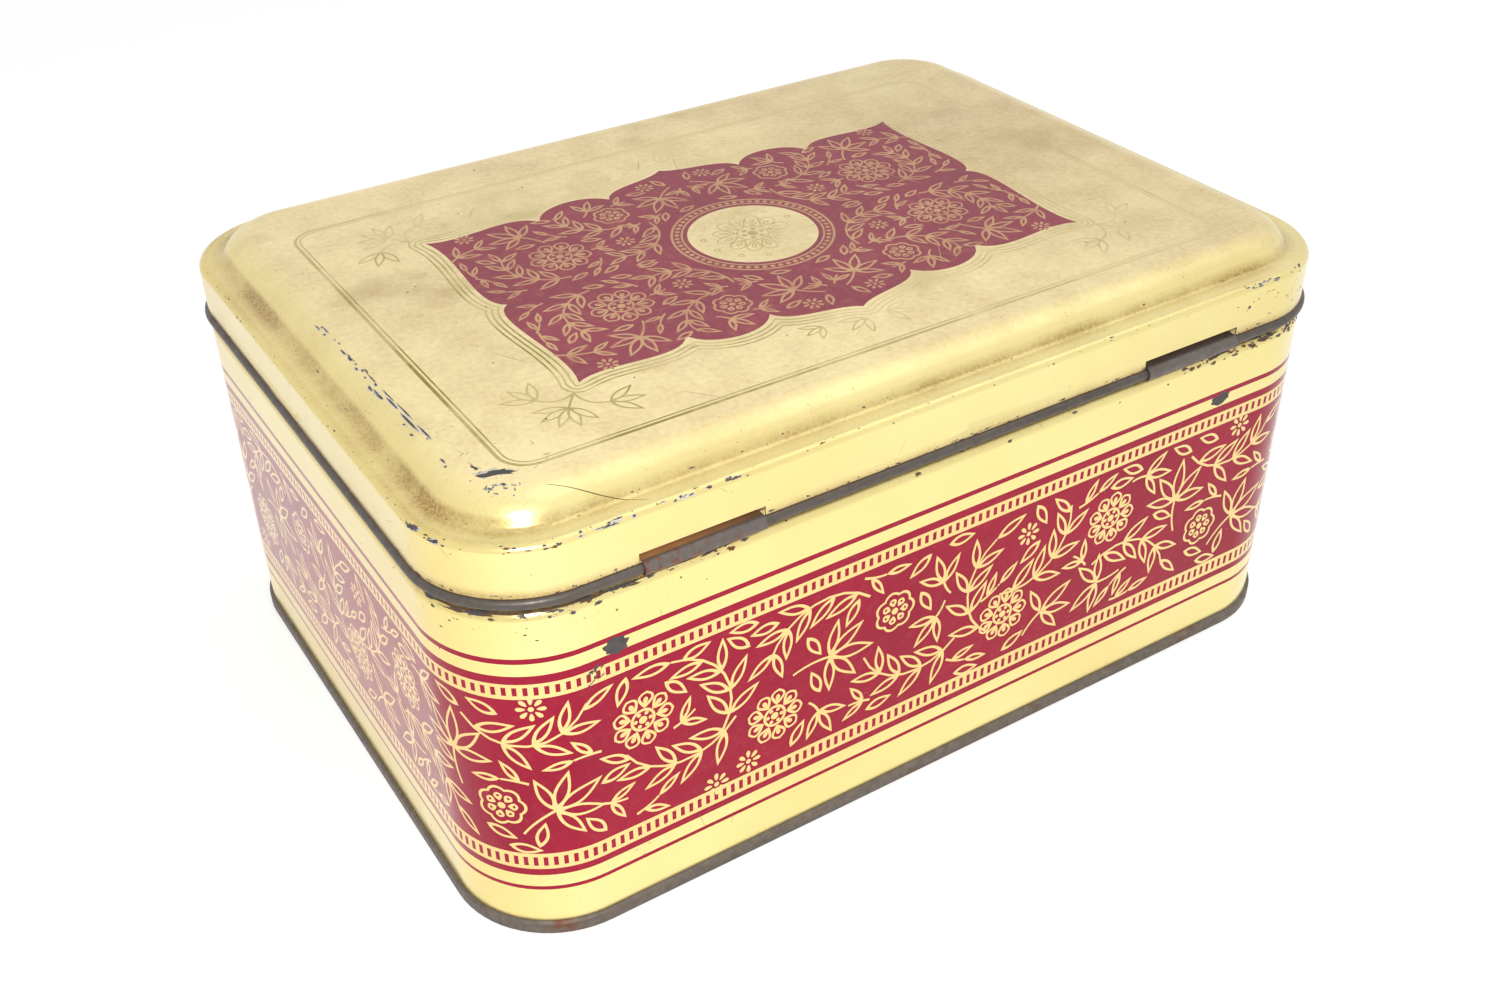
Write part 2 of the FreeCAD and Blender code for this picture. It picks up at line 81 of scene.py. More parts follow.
class Finish(Enum):
    """Finishes that a face can have; the value is the name of the material."""

    GOLD = "gold_lacquer"
    LINE = "gold_line"
    CRIMSON = "crimson_ink"
    CLARET = "claret_ink"
    TAN = "tan_line"
    OLIVE = "olive_line"
    STEEL = "bare_steel"
    TIN = "rubbed_tin"
    # Brown stains; also the colour of painted shade and of a painted dark reflection under the curl.
    STAIN_AND_SHADE = "brown_stain_and_shade"
    RUST = "rusted_tin"
    CURL = "worn_curl"
    INSIDE = "inner_lacquer"


@dataclass(frozen=True)
class Cloud:
    """Cloud texture: clouds per metre, octaves of finer ones, an offset, and factors along the axes."""

    scale: float
    detail: float = 3.0
    shift: float = 0.0
    stretch: Colour = (1.0, 1.0, 1.0)
    drift: Colour = (1.0, 0.7, 1.3)


class Nodes:
    """Node tree, with short ways to add the nodes that the finishes and the studio share."""

    def __init__(self, owner: Union[bpy.types.Material, bpy.types.World]) -> None:
        """Start with an empty tree.

        Args:
            owner: Material or world that has the tree.
        """
        owner.use_nodes = True
        self.tree = owner.node_tree
        self.tree.nodes.clear()

    def add(self, kind: str, outlet: str = "", links: Optional[dict[Union[str, int], Socket]] = None,
            **settings: Union[str, bool, dict]) -> Optional[Socket]:
        """Add one node.

        Args:
            kind: Kind of the node.
            outlet: Name of the output that is wanted.
            links: Sockets to link, by input.
            settings: Settings of the node, and under "values" the numbers and colours by input.

        Returns:
            The output, if one is wanted.
        """
        node = self.tree.nodes.new("ShaderNode" + kind)
        for name, value in settings.pop("values", {}).items():
            node.inputs[name].default_value = value
        for name, value in settings.items():
            setattr(node, name, value)
        for name, socket in (links or {}).items():
            self.tree.links.new(socket, node.inputs[name])
        return node.outputs[outlet] if outlet else None

    def span(self, value: Socket, span: Span) -> Socket:
        """Stretch values from one range to another and keep them within it."""
        limits = dict(zip(("From Min", "From Max", "To Min", "To Max"), span))
        return self.add("MapRange", "Result", {"Value": value}, values=limits)

    def chain(self, kind: str, first: Socket, *others: Union[Socket, float]) -> Socket:
        """Combine values one after the other, each result kept between 0 and 1.

        Args:
            kind: Name of the operation.
            first: First value.
            others: Further values, or numbers.

        Returns:
            Socket with the result.
        """
        for other in others:
            fixed = isinstance(other, float)
            links = {0: first} if fixed else {0: first, 1: other}
            values = {1: other} if fixed else {}
            first = self.add("Math", "Value", links, values=values, operation=kind, use_clamp=True)
        return first

    def seen(self) -> Socket:
        """Share that is 1 for rays from the camera and for reflected and passed ones, otherwise 0."""
        rays = [self.add("LightPath", f"Is {kind} Ray") for kind in ("Camera", "Glossy", "Transmission")]
        return self.chain("MAXIMUM", *rays)


class NodeSheet(Nodes):
    """Node tree of a finish, round one shader."""

    def __init__(self, name: str) -> None:
        """Start a material that holds one shader and its output.

        Args:
            name: Name of the material.
        """
        self.material = bpy.data.materials.new(name)
        super().__init__(self.material)
        self.shader = self.tree.nodes.new("ShaderNodeBsdfPrincipled")
        self.add("OutputMaterial", links={"Surface": self.shader.outputs["BSDF"]})
        self.place = self.add("TexCoord", "Object")

    def set(self, **values: float) -> None:
        """Set sockets of the shader that are the same all over; underscores stand for spaces."""
        for name, value in values.items():
            self.shader.inputs[name.replace("_", " ").title().replace("Ior", "IOR")].default_value = value

    def feed(self, socket: Socket, name: str) -> None:
        """Link a socket to the shader's input of that name."""
        self.tree.links.new(socket, self.shader.inputs[name])

    def position(self, axis: str) -> Socket:
        """Place along one axis, in metres."""
        return self.add("SeparateXYZ", axis, {"Vector": self.place})

    def upward(self) -> Socket:
        """How much the surface faces up, 1 for a level one."""
        return self.add("SeparateXYZ", "Z", {"Vector": self.add("TexCoord", "Normal")})

    def attribute(self, name: str) -> Socket:
        """Value that the mesh carries under a name."""
        return self.add("Attribute", "Fac", attribute_name=name)

    def noise(self, cloud: Cloud) -> Socket:
        """Cloud texture, with values about 0.5.

        Args:
            cloud: Kind of the clouds.

        Returns:
            Socket with the values.
        """
        offset = tuple(cloud.shift * way for way in cloud.drift)
        place = self.add("Mapping", "Vector", {"Vector": self.place},
                         values={"Location": offset, "Scale": cloud.stretch})
        return self.add("TexNoise", "Fac", {"Vector": place},
                        values={"Scale": cloud.scale, "Detail": cloud.detail})

    def blend(self, share: Socket, first: Union[Socket, Colour], second: Union[Socket, Colour]) -> Socket:
        """Blend two colours.

        Args:
            share: How much of the second colour shows.
            first: Colour or socket at a share of 0.
            second: Colour or socket at a share of 1.

        Returns:
            Socket with the blended colour.
        """
        node = self.tree.nodes.new("ShaderNodeMix")
        node.data_type = "RGBA"
        self.tree.links.new(share, node.inputs["Factor"])
        inputs = [slot for slot in node.inputs if slot.type == "RGBA"]
        for slot, colour in zip(inputs, (first, second)):
            if isinstance(colour, tuple):
                slot.default_value = (*colour, 1.0)
            else:
                self.tree.links.new(colour, slot)
        return next(slot for slot in node.outputs if slot.type == "RGBA")

    def bump(self, height: Socket, depth: float) -> None:
        """Give the shader small relief, of a depth in metres."""
        self.feed(self.add("Bump", "Normal", {"Height": height}, values={"Distance": depth}), "Normal")


class Coating:
    """Base of the finishes."""

    def material(self, name: str) -> bpy.types.Material:
        """Build the node material.

        Args:
            name: Name of the material.

        Returns:
            The finished material.
        """
        sheet = NodeSheet(name)
        self.paint(sheet)
        return sheet.material

    def paint(self, sheet: NodeSheet) -> None:
        """Add the nodes of the finish, which each kind of finish does in its own way."""
        raise NotImplementedError


@dataclass(frozen=True)
class Lacquer(Coating):
    """Glossy gold lacquer over tinplate that goes beige and matt with age, brown with dirt and with painted
    shade, and darker across the panel by painted light falloff.
    """

    fresh: Colour = srgb(248, 234, 158)
    deep: Colour = srgb(234, 206, 112)
    aged: Colour = srgb(252, 231, 174)
    dusty: Colour = srgb(206, 178, 124)
    brown: Colour = srgb(164, 128, 58)
    metallic: tuple[float, float] = (0.7, 0.3)
    gloss: tuple[float, float] = (0.16, 0.46)
    coat: float = 0.4
    coat_roughness: float = 0.1
    relief: float = 0.00002
    broad: Cloud = Cloud(14.0, 4.0)
    mottle: Cloud = Cloud(90.0, 6.0, 2.0)
    fine: Cloud = Cloud(700.0, 4.0, 3.0)
    grain: Cloud = Cloud(1500.0, 2.0, 7.0)
    blots: Cloud = Cloud(40.0, 8.0, 5.0)
    smears: Cloud = Cloud(60.0, 7.0, 4.0)
    deep_in_clouds: Span = (0.4, 0.7, 0.0, 0.4)
    deep_at_right: Span = (0.094, 0.108, 0.0, 0.5)
    dust_in_mottle: Span = (0.3, 0.7, 0.0, 0.4)
    dust_in_fine: Span = (0.35, 0.75, 0.0, 0.35)
    dust_in_clouds: Span = (0.35, 0.7, 0.0, 0.3)
    # The next two spans are painted light falloff: the aged gold gets darker towards -X and paler towards
    # the hinge side.
    painted_shade_to_left: Span = (0.06, -0.1, 0.0, 0.3)
    painted_light_to_hinge: Span = (0.03, 0.06, 0.0, 0.28)
    blotting: Span = (0.56, 0.72, 0.0, 0.5)
    aging: Span = (0.3, 0.62, 0.8, 1.0)
    grime_at_right: Span = (0.085, 0.098, 1.0, 1.9)
    smearing: Span = (0.36, 0.6, 0.45, 1.0)
    stippling: Span = (0.35, 0.65, 0.65, 1.0)
    flecks: Span = (0.68, 0.73)
    fleck_places: Span = (0.45, 0.62)
    fleck_age: Span = (0.0, 0.5, 0.15, 0.7)
    unevenness: Span = (0.3, 0.8, 0.0, 0.1)

    def paint(self, sheet: NodeSheet) -> None:
        """Add the nodes of the finish.

        Args:
            sheet: Node tree that gets them.
        """
        sheet.set(coat_weight=self.coat, coat_roughness=self.coat_roughness)
        age, dirt_and_shade = sheet.attribute("age"), sheet.attribute("dirt_and_shade")
        broad, mottle, fine, grain = map(sheet.noise, (self.broad, self.mottle, self.fine, self.grain))
        x, y = sheet.position("X"), sheet.position("Y")
        depth = sheet.chain("ADD", sheet.span(broad, self.deep_in_clouds), sheet.span(x, self.deep_at_right))
        gold = sheet.blend(depth, self.fresh, self.deep)
        # Dust in clouds, plus painted light falloff that darkens the aged gold towards -X and lightens it
        # towards the hinge side.
        dust_and_falloff = sheet.chain("ADD", sheet.span(mottle, self.dust_in_mottle),
                           sheet.span(fine, self.dust_in_fine), sheet.span(broad, self.dust_in_clouds),
                           sheet.span(x, self.painted_shade_to_left))
        dust_and_falloff = sheet.chain("SUBTRACT", dust_and_falloff, sheet.span(y, self.painted_light_to_hinge))
        beige = sheet.blend(dust_and_falloff, self.aged, self.dusty)
        blot = sheet.chain("MULTIPLY", sheet.span(sheet.noise(self.blots), self.blotting), age)
        beige = sheet.blend(blot, beige, self.brown)
        worn = sheet.chain("MULTIPLY", age, sheet.span(broad, self.aging))
        tone = sheet.blend(worn, gold, beige)
        # Brown where the dirt value is high: real dirt, painted shade high on the shoulder and a painted
        # dark reflection on the crest.
        smear_and_shade = sheet.chain("MULTIPLY", dirt_and_shade, sheet.span(x, self.grime_at_right),
                            sheet.span(sheet.noise(self.smears), self.smearing),
                            sheet.span(grain, self.stippling))
        tone = sheet.blend(smear_and_shade, tone, self.brown)
        fleck = sheet.chain("MULTIPLY", sheet.span(grain, self.flecks),
                            sheet.span(mottle, self.fleck_places), sheet.span(age, self.fleck_age))
        tone = sheet.blend(fleck, tone, self.brown)
        sheet.feed(tone, "Base Color")
        sheet.feed(sheet.span(worn, (0.0, 1.0, *self.metallic)), "Metallic")
        rough = sheet.chain("ADD", sheet.span(worn, (0.0, 1.0, *self.gloss)),
                            sheet.span(mottle, self.unevenness))
        sheet.feed(rough, "Roughness")
        sheet.bump(fine, self.relief)


@dataclass(frozen=True)
class Ink(Coating):
    """Printing ink on the lacquer, a little uneven, with tiny worn specks; it may fade along an axis."""

    colour: Colour
    shade: Colour
    worn: Colour
    wear: float
    roughness: float = 0.16
    coat: float = 0.65
    coat_roughness: float = 0.16
    bend: float = 1.22
    relief: float = 0.000012
    fading: tuple[tuple[str, float, float], ...] = ()
    faded: tuple[float, float] = (0.0, 0.75)
    broad: Cloud = Cloud(45.0, 5.0, 1.0)
    fine: Cloud = Cloud(420.0, 4.0, 5.0)
    grain: Cloud = Cloud(1900.0, 2.0, 9.0)
    shading: Span = (0.35, 0.68)
    rubbing: Span = (0.5, 0.72)
    specks: Span = (0.7, 0.74)
    speck_places: Span = (0.52, 0.62)
    fading_clouds: Span = (0.45, 0.6, 0.0, 0.6)
    gloss_spread: tuple[float, float] = (-0.06, 0.12)

    def paint(self, sheet: NodeSheet) -> None:
        """Add the nodes of the finish.

        Args:
            sheet: Node tree that gets them.
        """
        sheet.set(ior=self.bend, coat_ior=self.bend)
        sheet.set(coat_weight=self.coat, coat_roughness=self.coat_roughness)
        broad, fine, grain = map(sheet.noise, (self.broad, self.fine, self.grain))
        tone = sheet.blend(sheet.span(broad, self.shading), self.colour, self.shade)
        rubbed = sheet.chain("MULTIPLY", sheet.span(fine, self.rubbing), self.wear)
        tone = sheet.blend(rubbed, tone, self.worn)
        speck = sheet.chain("MULTIPLY", sheet.span(grain, self.specks), sheet.span(fine, self.speck_places))
        tone = sheet.blend(speck, tone, self.worn)
        if self.fading:
            ways = [sheet.span(sheet.position(axis), (*ends, *self.faded)) for axis, *ends in self.fading]
            gone = sheet.chain("ADD", sheet.span(broad, self.fading_clouds), *ways)
            tone = sheet.blend(gone, tone, self.worn)
        sheet.feed(tone, "Base Color")
        limits = [self.roughness + more for more in self.gloss_spread]
        sheet.feed(sheet.span(fine, (*GLOSS_CLOUDS, *limits)), "Roughness")
        sheet.bump(fine, self.relief)


@dataclass(frozen=True)
class Steel(Coating):
    """Bare, dulled tinplate with rust in clouds.

    A rusted end, a light rust colour deep in a slot that paints light into the slot's shade, and the colour
    of a floor inside the box are added if given.
    """

    light: Colour = srgb(138, 130, 122)
    dark: Colour = srgb(84, 78, 74)
    rust: Colour = srgb(126, 66, 34)
    rusting: tuple[float, float] = (0.6, 0.75)
    metallic: float = 0.55
    roughness: float = 0.45
    roughness_spread: float = 0.25
    relief: float = 0.00003
    rust_end: Optional[tuple[float, float]] = None
    recess_light_and_rust: Optional[Colour] = None
    floor: Optional[Colour] = None
    broad: Cloud = Cloud(60.0, 5.0, 2.0)
    fine: Cloud = Cloud(650.0, 4.0, 6.0)
    streak: Cloud = Cloud(130.0, 3.0, 4.0, (0.35, 0.35, 3.0))
    flakes: Cloud = Cloud(480.0, 8.0, 8.0)
    dulling: Span = (0.25, 0.8, 0.1, 0.6)
    streaking: Span = (0.4, 0.8, 0.0, 0.5)
    pitting: Span = (0.3, 0.6)
    flaking: Span = (0.49, 0.56, 0.0, 0.85)
    recess_front: Span = (0.0801, 0.0794)
    recess_back: Span = (0.0772, 0.0776)
    recess_side: Span = (0.05, 0.066, 0.4, 1.0)
    floor_facing: Span = (0.8, 0.95)
    floor_height: Span = (0.00294, 0.00288)
    floor_wear: Span = (0.3, 0.8, 1.0, 0.6)

    def paint(self, sheet: NodeSheet) -> None:
        """Add the nodes of the finish.

        Args:
            sheet: Node tree that gets them.
        """
        sheet.set(metallic=self.metallic)
        broad, fine, streak = map(sheet.noise, (self.broad, self.fine, self.streak))
        tone = sheet.blend(sheet.span(fine, self.dulling), self.light, self.dark)
        tone = sheet.blend(sheet.span(streak, self.streaking), tone, self.dark)
        spots = sheet.chain("MULTIPLY", sheet.span(broad, self.rusting), sheet.span(fine, self.pitting))
        tone = sheet.blend(spots, tone, self.rust)
        if self.rust_end:
            flake = sheet.chain("MULTIPLY", sheet.span(sheet.noise(self.flakes), self.flaking),
                                sheet.span(sheet.position("X"), self.rust_end))
            tone = sheet.blend(flake, tone, self.rust)
        # Painted light: a light rust colour deep in the slot that stands in for light reaching the shaded
        # recess.
        if self.recess_light_and_rust:
            y = sheet.position("Y")
            deep = sheet.chain("MULTIPLY", sheet.span(y, self.recess_front), sheet.span(y, self.recess_back),
                               sheet.span(sheet.position("X"), self.recess_side))
            tone = sheet.blend(deep, tone, self.recess_light_and_rust)
        if self.floor:
            level = sheet.chain("MULTIPLY", sheet.span(sheet.upward(), self.floor_facing),
                                sheet.span(sheet.position("Z"), self.floor_height),
                                sheet.span(broad, self.floor_wear))
            tone = sheet.blend(level, tone, self.floor)
        sheet.feed(tone, "Base Color")
        limits = (self.roughness, self.roughness + self.roughness_spread)
        sheet.feed(sheet.span(fine, (*GLOSS_CLOUDS, *limits)), "Roughness")
        sheet.bump(fine, self.relief)


class Palette:
    """Materials of the printed sheets, one for each finish of a face."""

    def __init__(self) -> None:
        """Build the materials."""
        matt = {"roughness": 0.4, "coat": 0.0}
        makers: dict[Finish, Coating] = {
            Finish.GOLD: Lacquer(),
            Finish.LINE: Lacquer(srgb(248, 221, 147), srgb(236, 199, 118)),
            Finish.CRIMSON: Ink(srgb(172, 10, 52), srgb(158, 8, 48), srgb(196, 92, 92), 0.1),
            Finish.CLARET: Ink(srgb(156, 74, 86), srgb(145, 70, 82), srgb(182, 120, 108), 0.35, **matt),
            Finish.TAN: Ink(srgb(212, 170, 128), srgb(198, 150, 116), srgb(160, 86, 88), 0.45, **matt),
            Finish.OLIVE: Ink(srgb(148, 134, 62), srgb(164, 148, 76), srgb(228, 208, 154), 0.45,
                              fading=(("X", 0.075, -0.03), ("Y", 0.0, -0.05)), **matt),
            Finish.STEEL: Steel(srgb(98, 94, 94), srgb(62, 58, 58)),
            Finish.TIN: Steel(srgb(226, 222, 206), srgb(186, 178, 160), rusting=(0.75, 0.9)),
            Finish.STAIN_AND_SHADE: Steel(srgb(112, 80, 42), srgb(68, 50, 32), rusting=(0.45, 0.7), metallic=0.1),
            Finish.RUST: Steel(srgb(178, 136, 92), srgb(142, 100, 66), srgb(150, 94, 56), (0.4, 0.6), 0.1),
            Finish.CURL: Steel(srgb(106, 98, 91), srgb(76, 70, 65), rusting=(0.66, 0.85), roughness=0.32),
            Finish.INSIDE: Lacquer(srgb(228, 216, 172), srgb(210, 195, 146), coat=0.2, metallic=(0.45, 0.3),
                                   gloss=(0.35, 0.55)),
        }
        self.order = list(Finish)
        self.slots = [makers[finish].material(finish.value) for finish in self.order]

    def number(self, finish: Finish) -> int:
        """Slot number of a finish."""
        return self.order.index(finish)


@dataclass
class Shape:
    """Closed outline of a drawing; without a finish it is a hole."""

    outline: Points
    finish: Optional[Finish]

    def moved(self, across: float, up: float = 0.0) -> "Shape":
        """The same shape at another place of the drawing."""
        return Shape(self.outline + np.array([across, up]), self.finish)

    def mirrored(self, x: float, y: float) -> "Shape":
        """The same shape with its coordinates times 1 or -1."""
        return Shape(self.outline * np.array([x, y]), self.finish)


def four_times(shapes: Sequence[Shape]) -> list[Shape]:
    """Shapes of a quarter with their mirror images in the other three."""
    return [shape.mirrored(x, y) for x in (1.0, -1.0) for y in (1.0, -1.0) for shape in shapes]


def box_shape(x0: float, x1: float, y0: float, y1: float, finish: Optional[Finish]) -> Shape:
    """Rectangle between two values across and two up."""
    return Shape(np.array([[x0, y0], [x1, y0], [x1, y1], [x0, y1]]), finish)


LEAF_WIDTH = 0.31
LEAF_BULGE = 0.85
LEAF_POINT = 1.5
LEAF_LEAD_LEAST = 0.3
LEAF_TESTS = np.array([0.42, 0.6, 0.78, 1.0])
LEAF_TEST_LEAST = 0.25
LEAF_DISCS = np.array([0.2, 0.35, 0.5, 0.65, 0.8, 0.95])
LEAF_DISC_LEAST = 0.2
PETAL_BULGE = 1.35
PETAL_ROUNDING = 0.7
# Line widths left at a petal's root, at its tip and at both sides together.
PETAL_LINES = (1.6, 0.9, 1.8)
OUTLINE_STEPS = np.linspace(0.0, 1.0, 9)
STEM_TAPER = 0.78
FAN_STEM_POINTS = 7
RING_POINTS = 20
DASH_STEPS = np.array([0.38, 0.62, 0.86, 1.0])
DASH_WIDTHS = np.array([0.1, 0.3, 0.34, 0.12])
STAR_TRIES = 40
STAR_DOT = 0.2
# Shares of a daisy's radius: middle, both ends of the inner petals, dot, seeds, and the ring they stand on.
DAISY_MIDDLE = 0.4
DAISY_INNER = (0.52, 0.8)
DAISY_DOT = 0.13
DAISY_SEED = 0.065
DAISY_SEED_RING = 0.24
# Share of the radius where a daisy's petals share out the circle, and the widths of both rings of petals.
DAISY_SPACING = 0.66
DAISY_WIDTHS = (1.12, 0.34)
# Shares of a rosette's radius: edge and lobes on it, both ends and the width of its petals, and its dot.
ROSETTE_EDGE = (0.86, 0.14)
ROSETTE_PETALS = (0.24, 0.66, 0.36)
ROSETTE_DOT = 0.16


def directions(angles: Points) -> Points:
    """Unit vectors at angles in radians."""
    return np.stack([np.cos(angles), np.sin(angles)], axis=1)


def heading(angle: float) -> Points:
    """Unit vector at one angle in radians."""
    return np.array([math.cos(angle), math.sin(angle)])


def circle(points: int) -> Points:
    """Points evenly round a circle of radius 1."""
    return directions(np.linspace(0.0, 2.0 * math.pi, points, endpoint=False))


def curve(controls: Sequence[Sequence[float]], steps: Points) -> Points:
    """Points along a curve that is led by control points.

    Args:
        controls: First point, the points that lead the curve, and last point.
        steps: Shares of the way from the first point to the last.

    Returns:
        One point for each share.
    """
    order = len(controls) - 1
    share = steps[:, None]
    return sum(math.comb(order, number) * (1 - share) ** (order - number) * share ** number * np.array(point)
               for number, point in enumerate(controls))


def ribbon(points: Points, width: Union[float, Points]) -> Points:
    """Outline of a drawn line.

    Args:
        points: Points along its middle.
        width: Its width, or the width at each point.

    Returns:
        Points round the line, out along one side and back along the other.
    """
    along = np.gradient(points, axis=0)
    along /= np.linalg.norm(along, axis=1)[:, None]
    half = np.broadcast_to(width, len(points))[:, None] / 2.0
    side = np.stack([-along[:, 1], along[:, 0]], axis=1) * half
    return np.concatenate([points - side, (points + side)[::-1]])


def spindle(base: Points, angle: float, start: float, end: float, half: Points) -> Points:
    """Outline round a straight spine, closed to a point at both ends.

    Args:
        base: Point from which distances along the spine count.
        angle: Direction of the spine, in radians.
        start: Distance where the outline starts.
        end: Distance where it ends.
        half: Half widths at even steps from start to end.

    Returns:
        Points of the outline.
    """
    ahead = heading(angle)
    aside = np.array([-ahead[1], ahead[0]])
    spine = base + ahead * (start + (end - start) * np.linspace(0.0, 1.0, len(half)))[:, None]
    side = aside * half[:, None]
    return np.concatenate([spine - side, (spine + side)[-2:0:-1]])


def stem_line(base: Points, angles: Points, length: float) -> Points:
    """Points along a bent stem, from its base on, with its direction at each of them."""
    moves = directions(angles)[:-1] * (length / (len(angles) - 1))
    return base + np.concatenate([np.zeros((1, 2)), np.cumsum(moves, axis=0)])


def leaf_bulge(steps: Points) -> Points:
    """Width of a leaf at shares of its length, 1 where it is widest."""
    return np.sin(math.pi * steps ** LEAF_BULGE)


def petal_bulge(steps: Points) -> Points:
    """Width of a petal at shares of its length, narrow near the middle of the flower."""
    return np.sin(math.pi * steps ** PETAL_BULGE) ** PETAL_ROUNDING


def everywhere(spots: Points) -> np.ndarray:
    """Test of a field that has no edge."""
    return np.ones(len(spots), dtype=bool)


class Drawing:
    """Line drawing of leaves, stems and flowers that keeps clear of what is drawn already."""

    def __init__(self, line: Finish, ground: Finish, width: float,
                 inside: Callable[[Points], np.ndarray] = everywhere, period: float = 0.0) -> None:
        """Start an empty drawing.

        Args:
            line: Finish of the lines.
            ground: Finish inside the outlined leaves and petals.
            width: Width of the lines.
            inside: Test that says which points are inside the drawing's field.
            period: Length after which the drawing repeats, or 0.
        """
        self.line = line
        self.ground = ground
        self.width = width
        self.inside = inside
        self.period = period
        self.leaf_gap = 0.55 * width
        self.stem_gap = 0.8 * width
        self.shapes: list[Shape] = []
        self.taken = np.zeros((0, 3))

    def clear(self, points: Points, radii: Points, gap: float) -> bool:
        """Tell whether discs are free.

        Args:
            points: Centres of the discs.
            radii: Their radii.
            gap: Space to keep round them.

        Returns:
            True if all of them are in the field and clear of the drawing.
        """
        if not bool(np.all(self.inside(points))):
            return False
        if not len(self.taken):
            return True
        apart = points[:, None, :] - self.taken[None, :, :2]
        if self.period:
            apart[..., 0] -= self.period * np.round(apart[..., 0] / self.period)
        room = np.linalg.norm(apart, axis=2) - radii[:, None] - self.taken[None, :, 2]
        return bool(np.all(room > gap))

    def take(self, points: Points, radii: Points) -> None:
        """Mark discs as drawn on."""
        self.taken = np.concatenate([self.taken, np.column_stack([points, radii])])

    def take_disc(self, centre: Points, radius: float) -> None:
        """Mark one disc as drawn on."""
        self.take(centre[None, :], np.array([radius]))

    def stroke(self, points: Points, width: Union[float, Points, None] = None) -> None:
        """Draw a line along points, tapering if its width is given at each of them."""
        self.shapes.append(Shape(ribbon(points, self.width if width is None else width), self.line))
        self.take(points[::2], np.full(len(points[::2]), self.width / 2.0))

    def outlined(self, outer: Points, inner: Points) -> None:
        """Draw a closed shape as an outline."""
        self.shapes += [Shape(outer, self.line), Shape(inner, self.ground)]

    def leaf(self, base: Points, angle: float, length: float, width: float = 0.0) -> bool:
        """Draw a pointed leaf if there is room.

        Args:
            base: Point where it starts.
            angle: Direction in radians.
            length: Length of the leaf.
            width: Greatest width, or 0 for the usual share of the length.

        Returns:
            True if the leaf was drawn.
        """
        width = width or length * LEAF_WIDTH
        ahead = heading(angle)
        radii = np.maximum(width / 2.0 * leaf_bulge(LEAF_TESTS), LEAF_TEST_LEAST)
        if not self.clear(base + ahead * (LEAF_TESTS * length)[:, None], radii, self.leaf_gap):
            return False
        slope = math.atan2(LEAF_POINT * width, length)
        lead = self.width / max(math.sin(slope), LEAF_LEAD_LEAST)
        half = leaf_bulge(OUTLINE_STEPS)
        self.outlined(spindle(base, angle, 0.0, length, width / 2.0 * half),
                      spindle(base, angle, lead, length - lead, (width - 2.0 * self.width) / 2.0 * half))
        radii = np.maximum(width / 2.0 * leaf_bulge(LEAF_DISCS), LEAF_DISC_LEAST)
        self.take(base + ahead * (LEAF_DISCS * length)[:, None], radii)
        return True

    def kept(self, enough: bool, start: int, before: Points, stem: Points) -> None:
        """Finish a fan or a twig with its stem, or undo it.

        Args:
            enough: Whether enough of its leaves were drawn.
            start: Number of shapes before it.
            before: Discs that were taken before it.
            stem: Points along its stem.
        """
        if enough:
            self.stroke(stem, self.width * np.linspace(1.0, STEM_TAPER, len(stem)))
        else:
            del self.shapes[start:]
            self.taken = before

    def scatter(self, seed: int, low: Sequence[float], high: Sequence[float], scale: float,
                stars: float) -> None:
        """Fill a field with fans, twigs, stars and single leaves, the large ones first.

        Args:
            seed: Number that gives the places and directions.
            low: Lower corner of the field.
            high: Upper corner of the field.
            scale: Length of the large leaves.
            stars: Radius of the stars.
        """
        random = np.random.default_rng(seed)
        for tries, growth in (*LARGE_GROWTHS, (STAR_TRIES, Star(stars)), *SMALL_GROWTHS):
            for _ in range(tries):
                spot = np.array([low[axis] + random.random() * (high[axis] - low[axis]) for axis in (0, 1)])
                angle = random.random() * 2.0 * math.pi
                flips = isinstance(growth, Twig) and growth.either_way
                side = -1.0 if flips and random.random() >= 0.5 else 1.0
                growth.grow(self, Place(spot, angle, scale, side))

    def spray(self, base: Points, angle: float, count: int, spread: float, size: float) -> None:
        """Draw leaves that spread from a point, whatever is there.

        Args:
            base: Point from which the leaves spread.
            angle: Direction of the middle leaf, in radians.
            count: How many leaves.
            spread: Angle between the outermost leaves, in radians.
            size: Length of the leaves.
        """
        for number in range(count):
            self.taken = np.zeros((0, 3))
            self.leaf(base, angle + (number / (count - 1) - 0.5) * spread, size)

    def petals(self, centre: Points, count: int, start: float, end: float, wide: float) -> None:
        """Draw a ring of rounded petals.

        Args:
            centre: Middle of the flower.
            count: How many petals.
            start: Radius where they start.
            end: Radius where they end.
            wide: Greatest width of a petal.
        """
        half = petal_bulge(OUTLINE_STEPS)
        root, tip, sides = (share * self.width for share in PETAL_LINES)
        for number in range(count):
            angle = 2.0 * math.pi * number / count
            self.outlined(spindle(centre, angle, start, end, wide / 2.0 * half),
                          spindle(centre, angle, start + root, end - tip, (wide - sides) / 2.0 * half))

    def ring(self, centre: Points, outer: float, inner: float = 0.0) -> None:
        """Draw a ring.

        Args:
            centre: Its middle.
            outer: Outer radius.
            inner: Inner radius, or 0 for a dot.
        """
        self.shapes.append(Shape(centre + circle(RING_POINTS) * outer, self.line))
        if inner:
            self.shapes.append(Shape(centre + circle(RING_POINTS) * inner, self.ground))

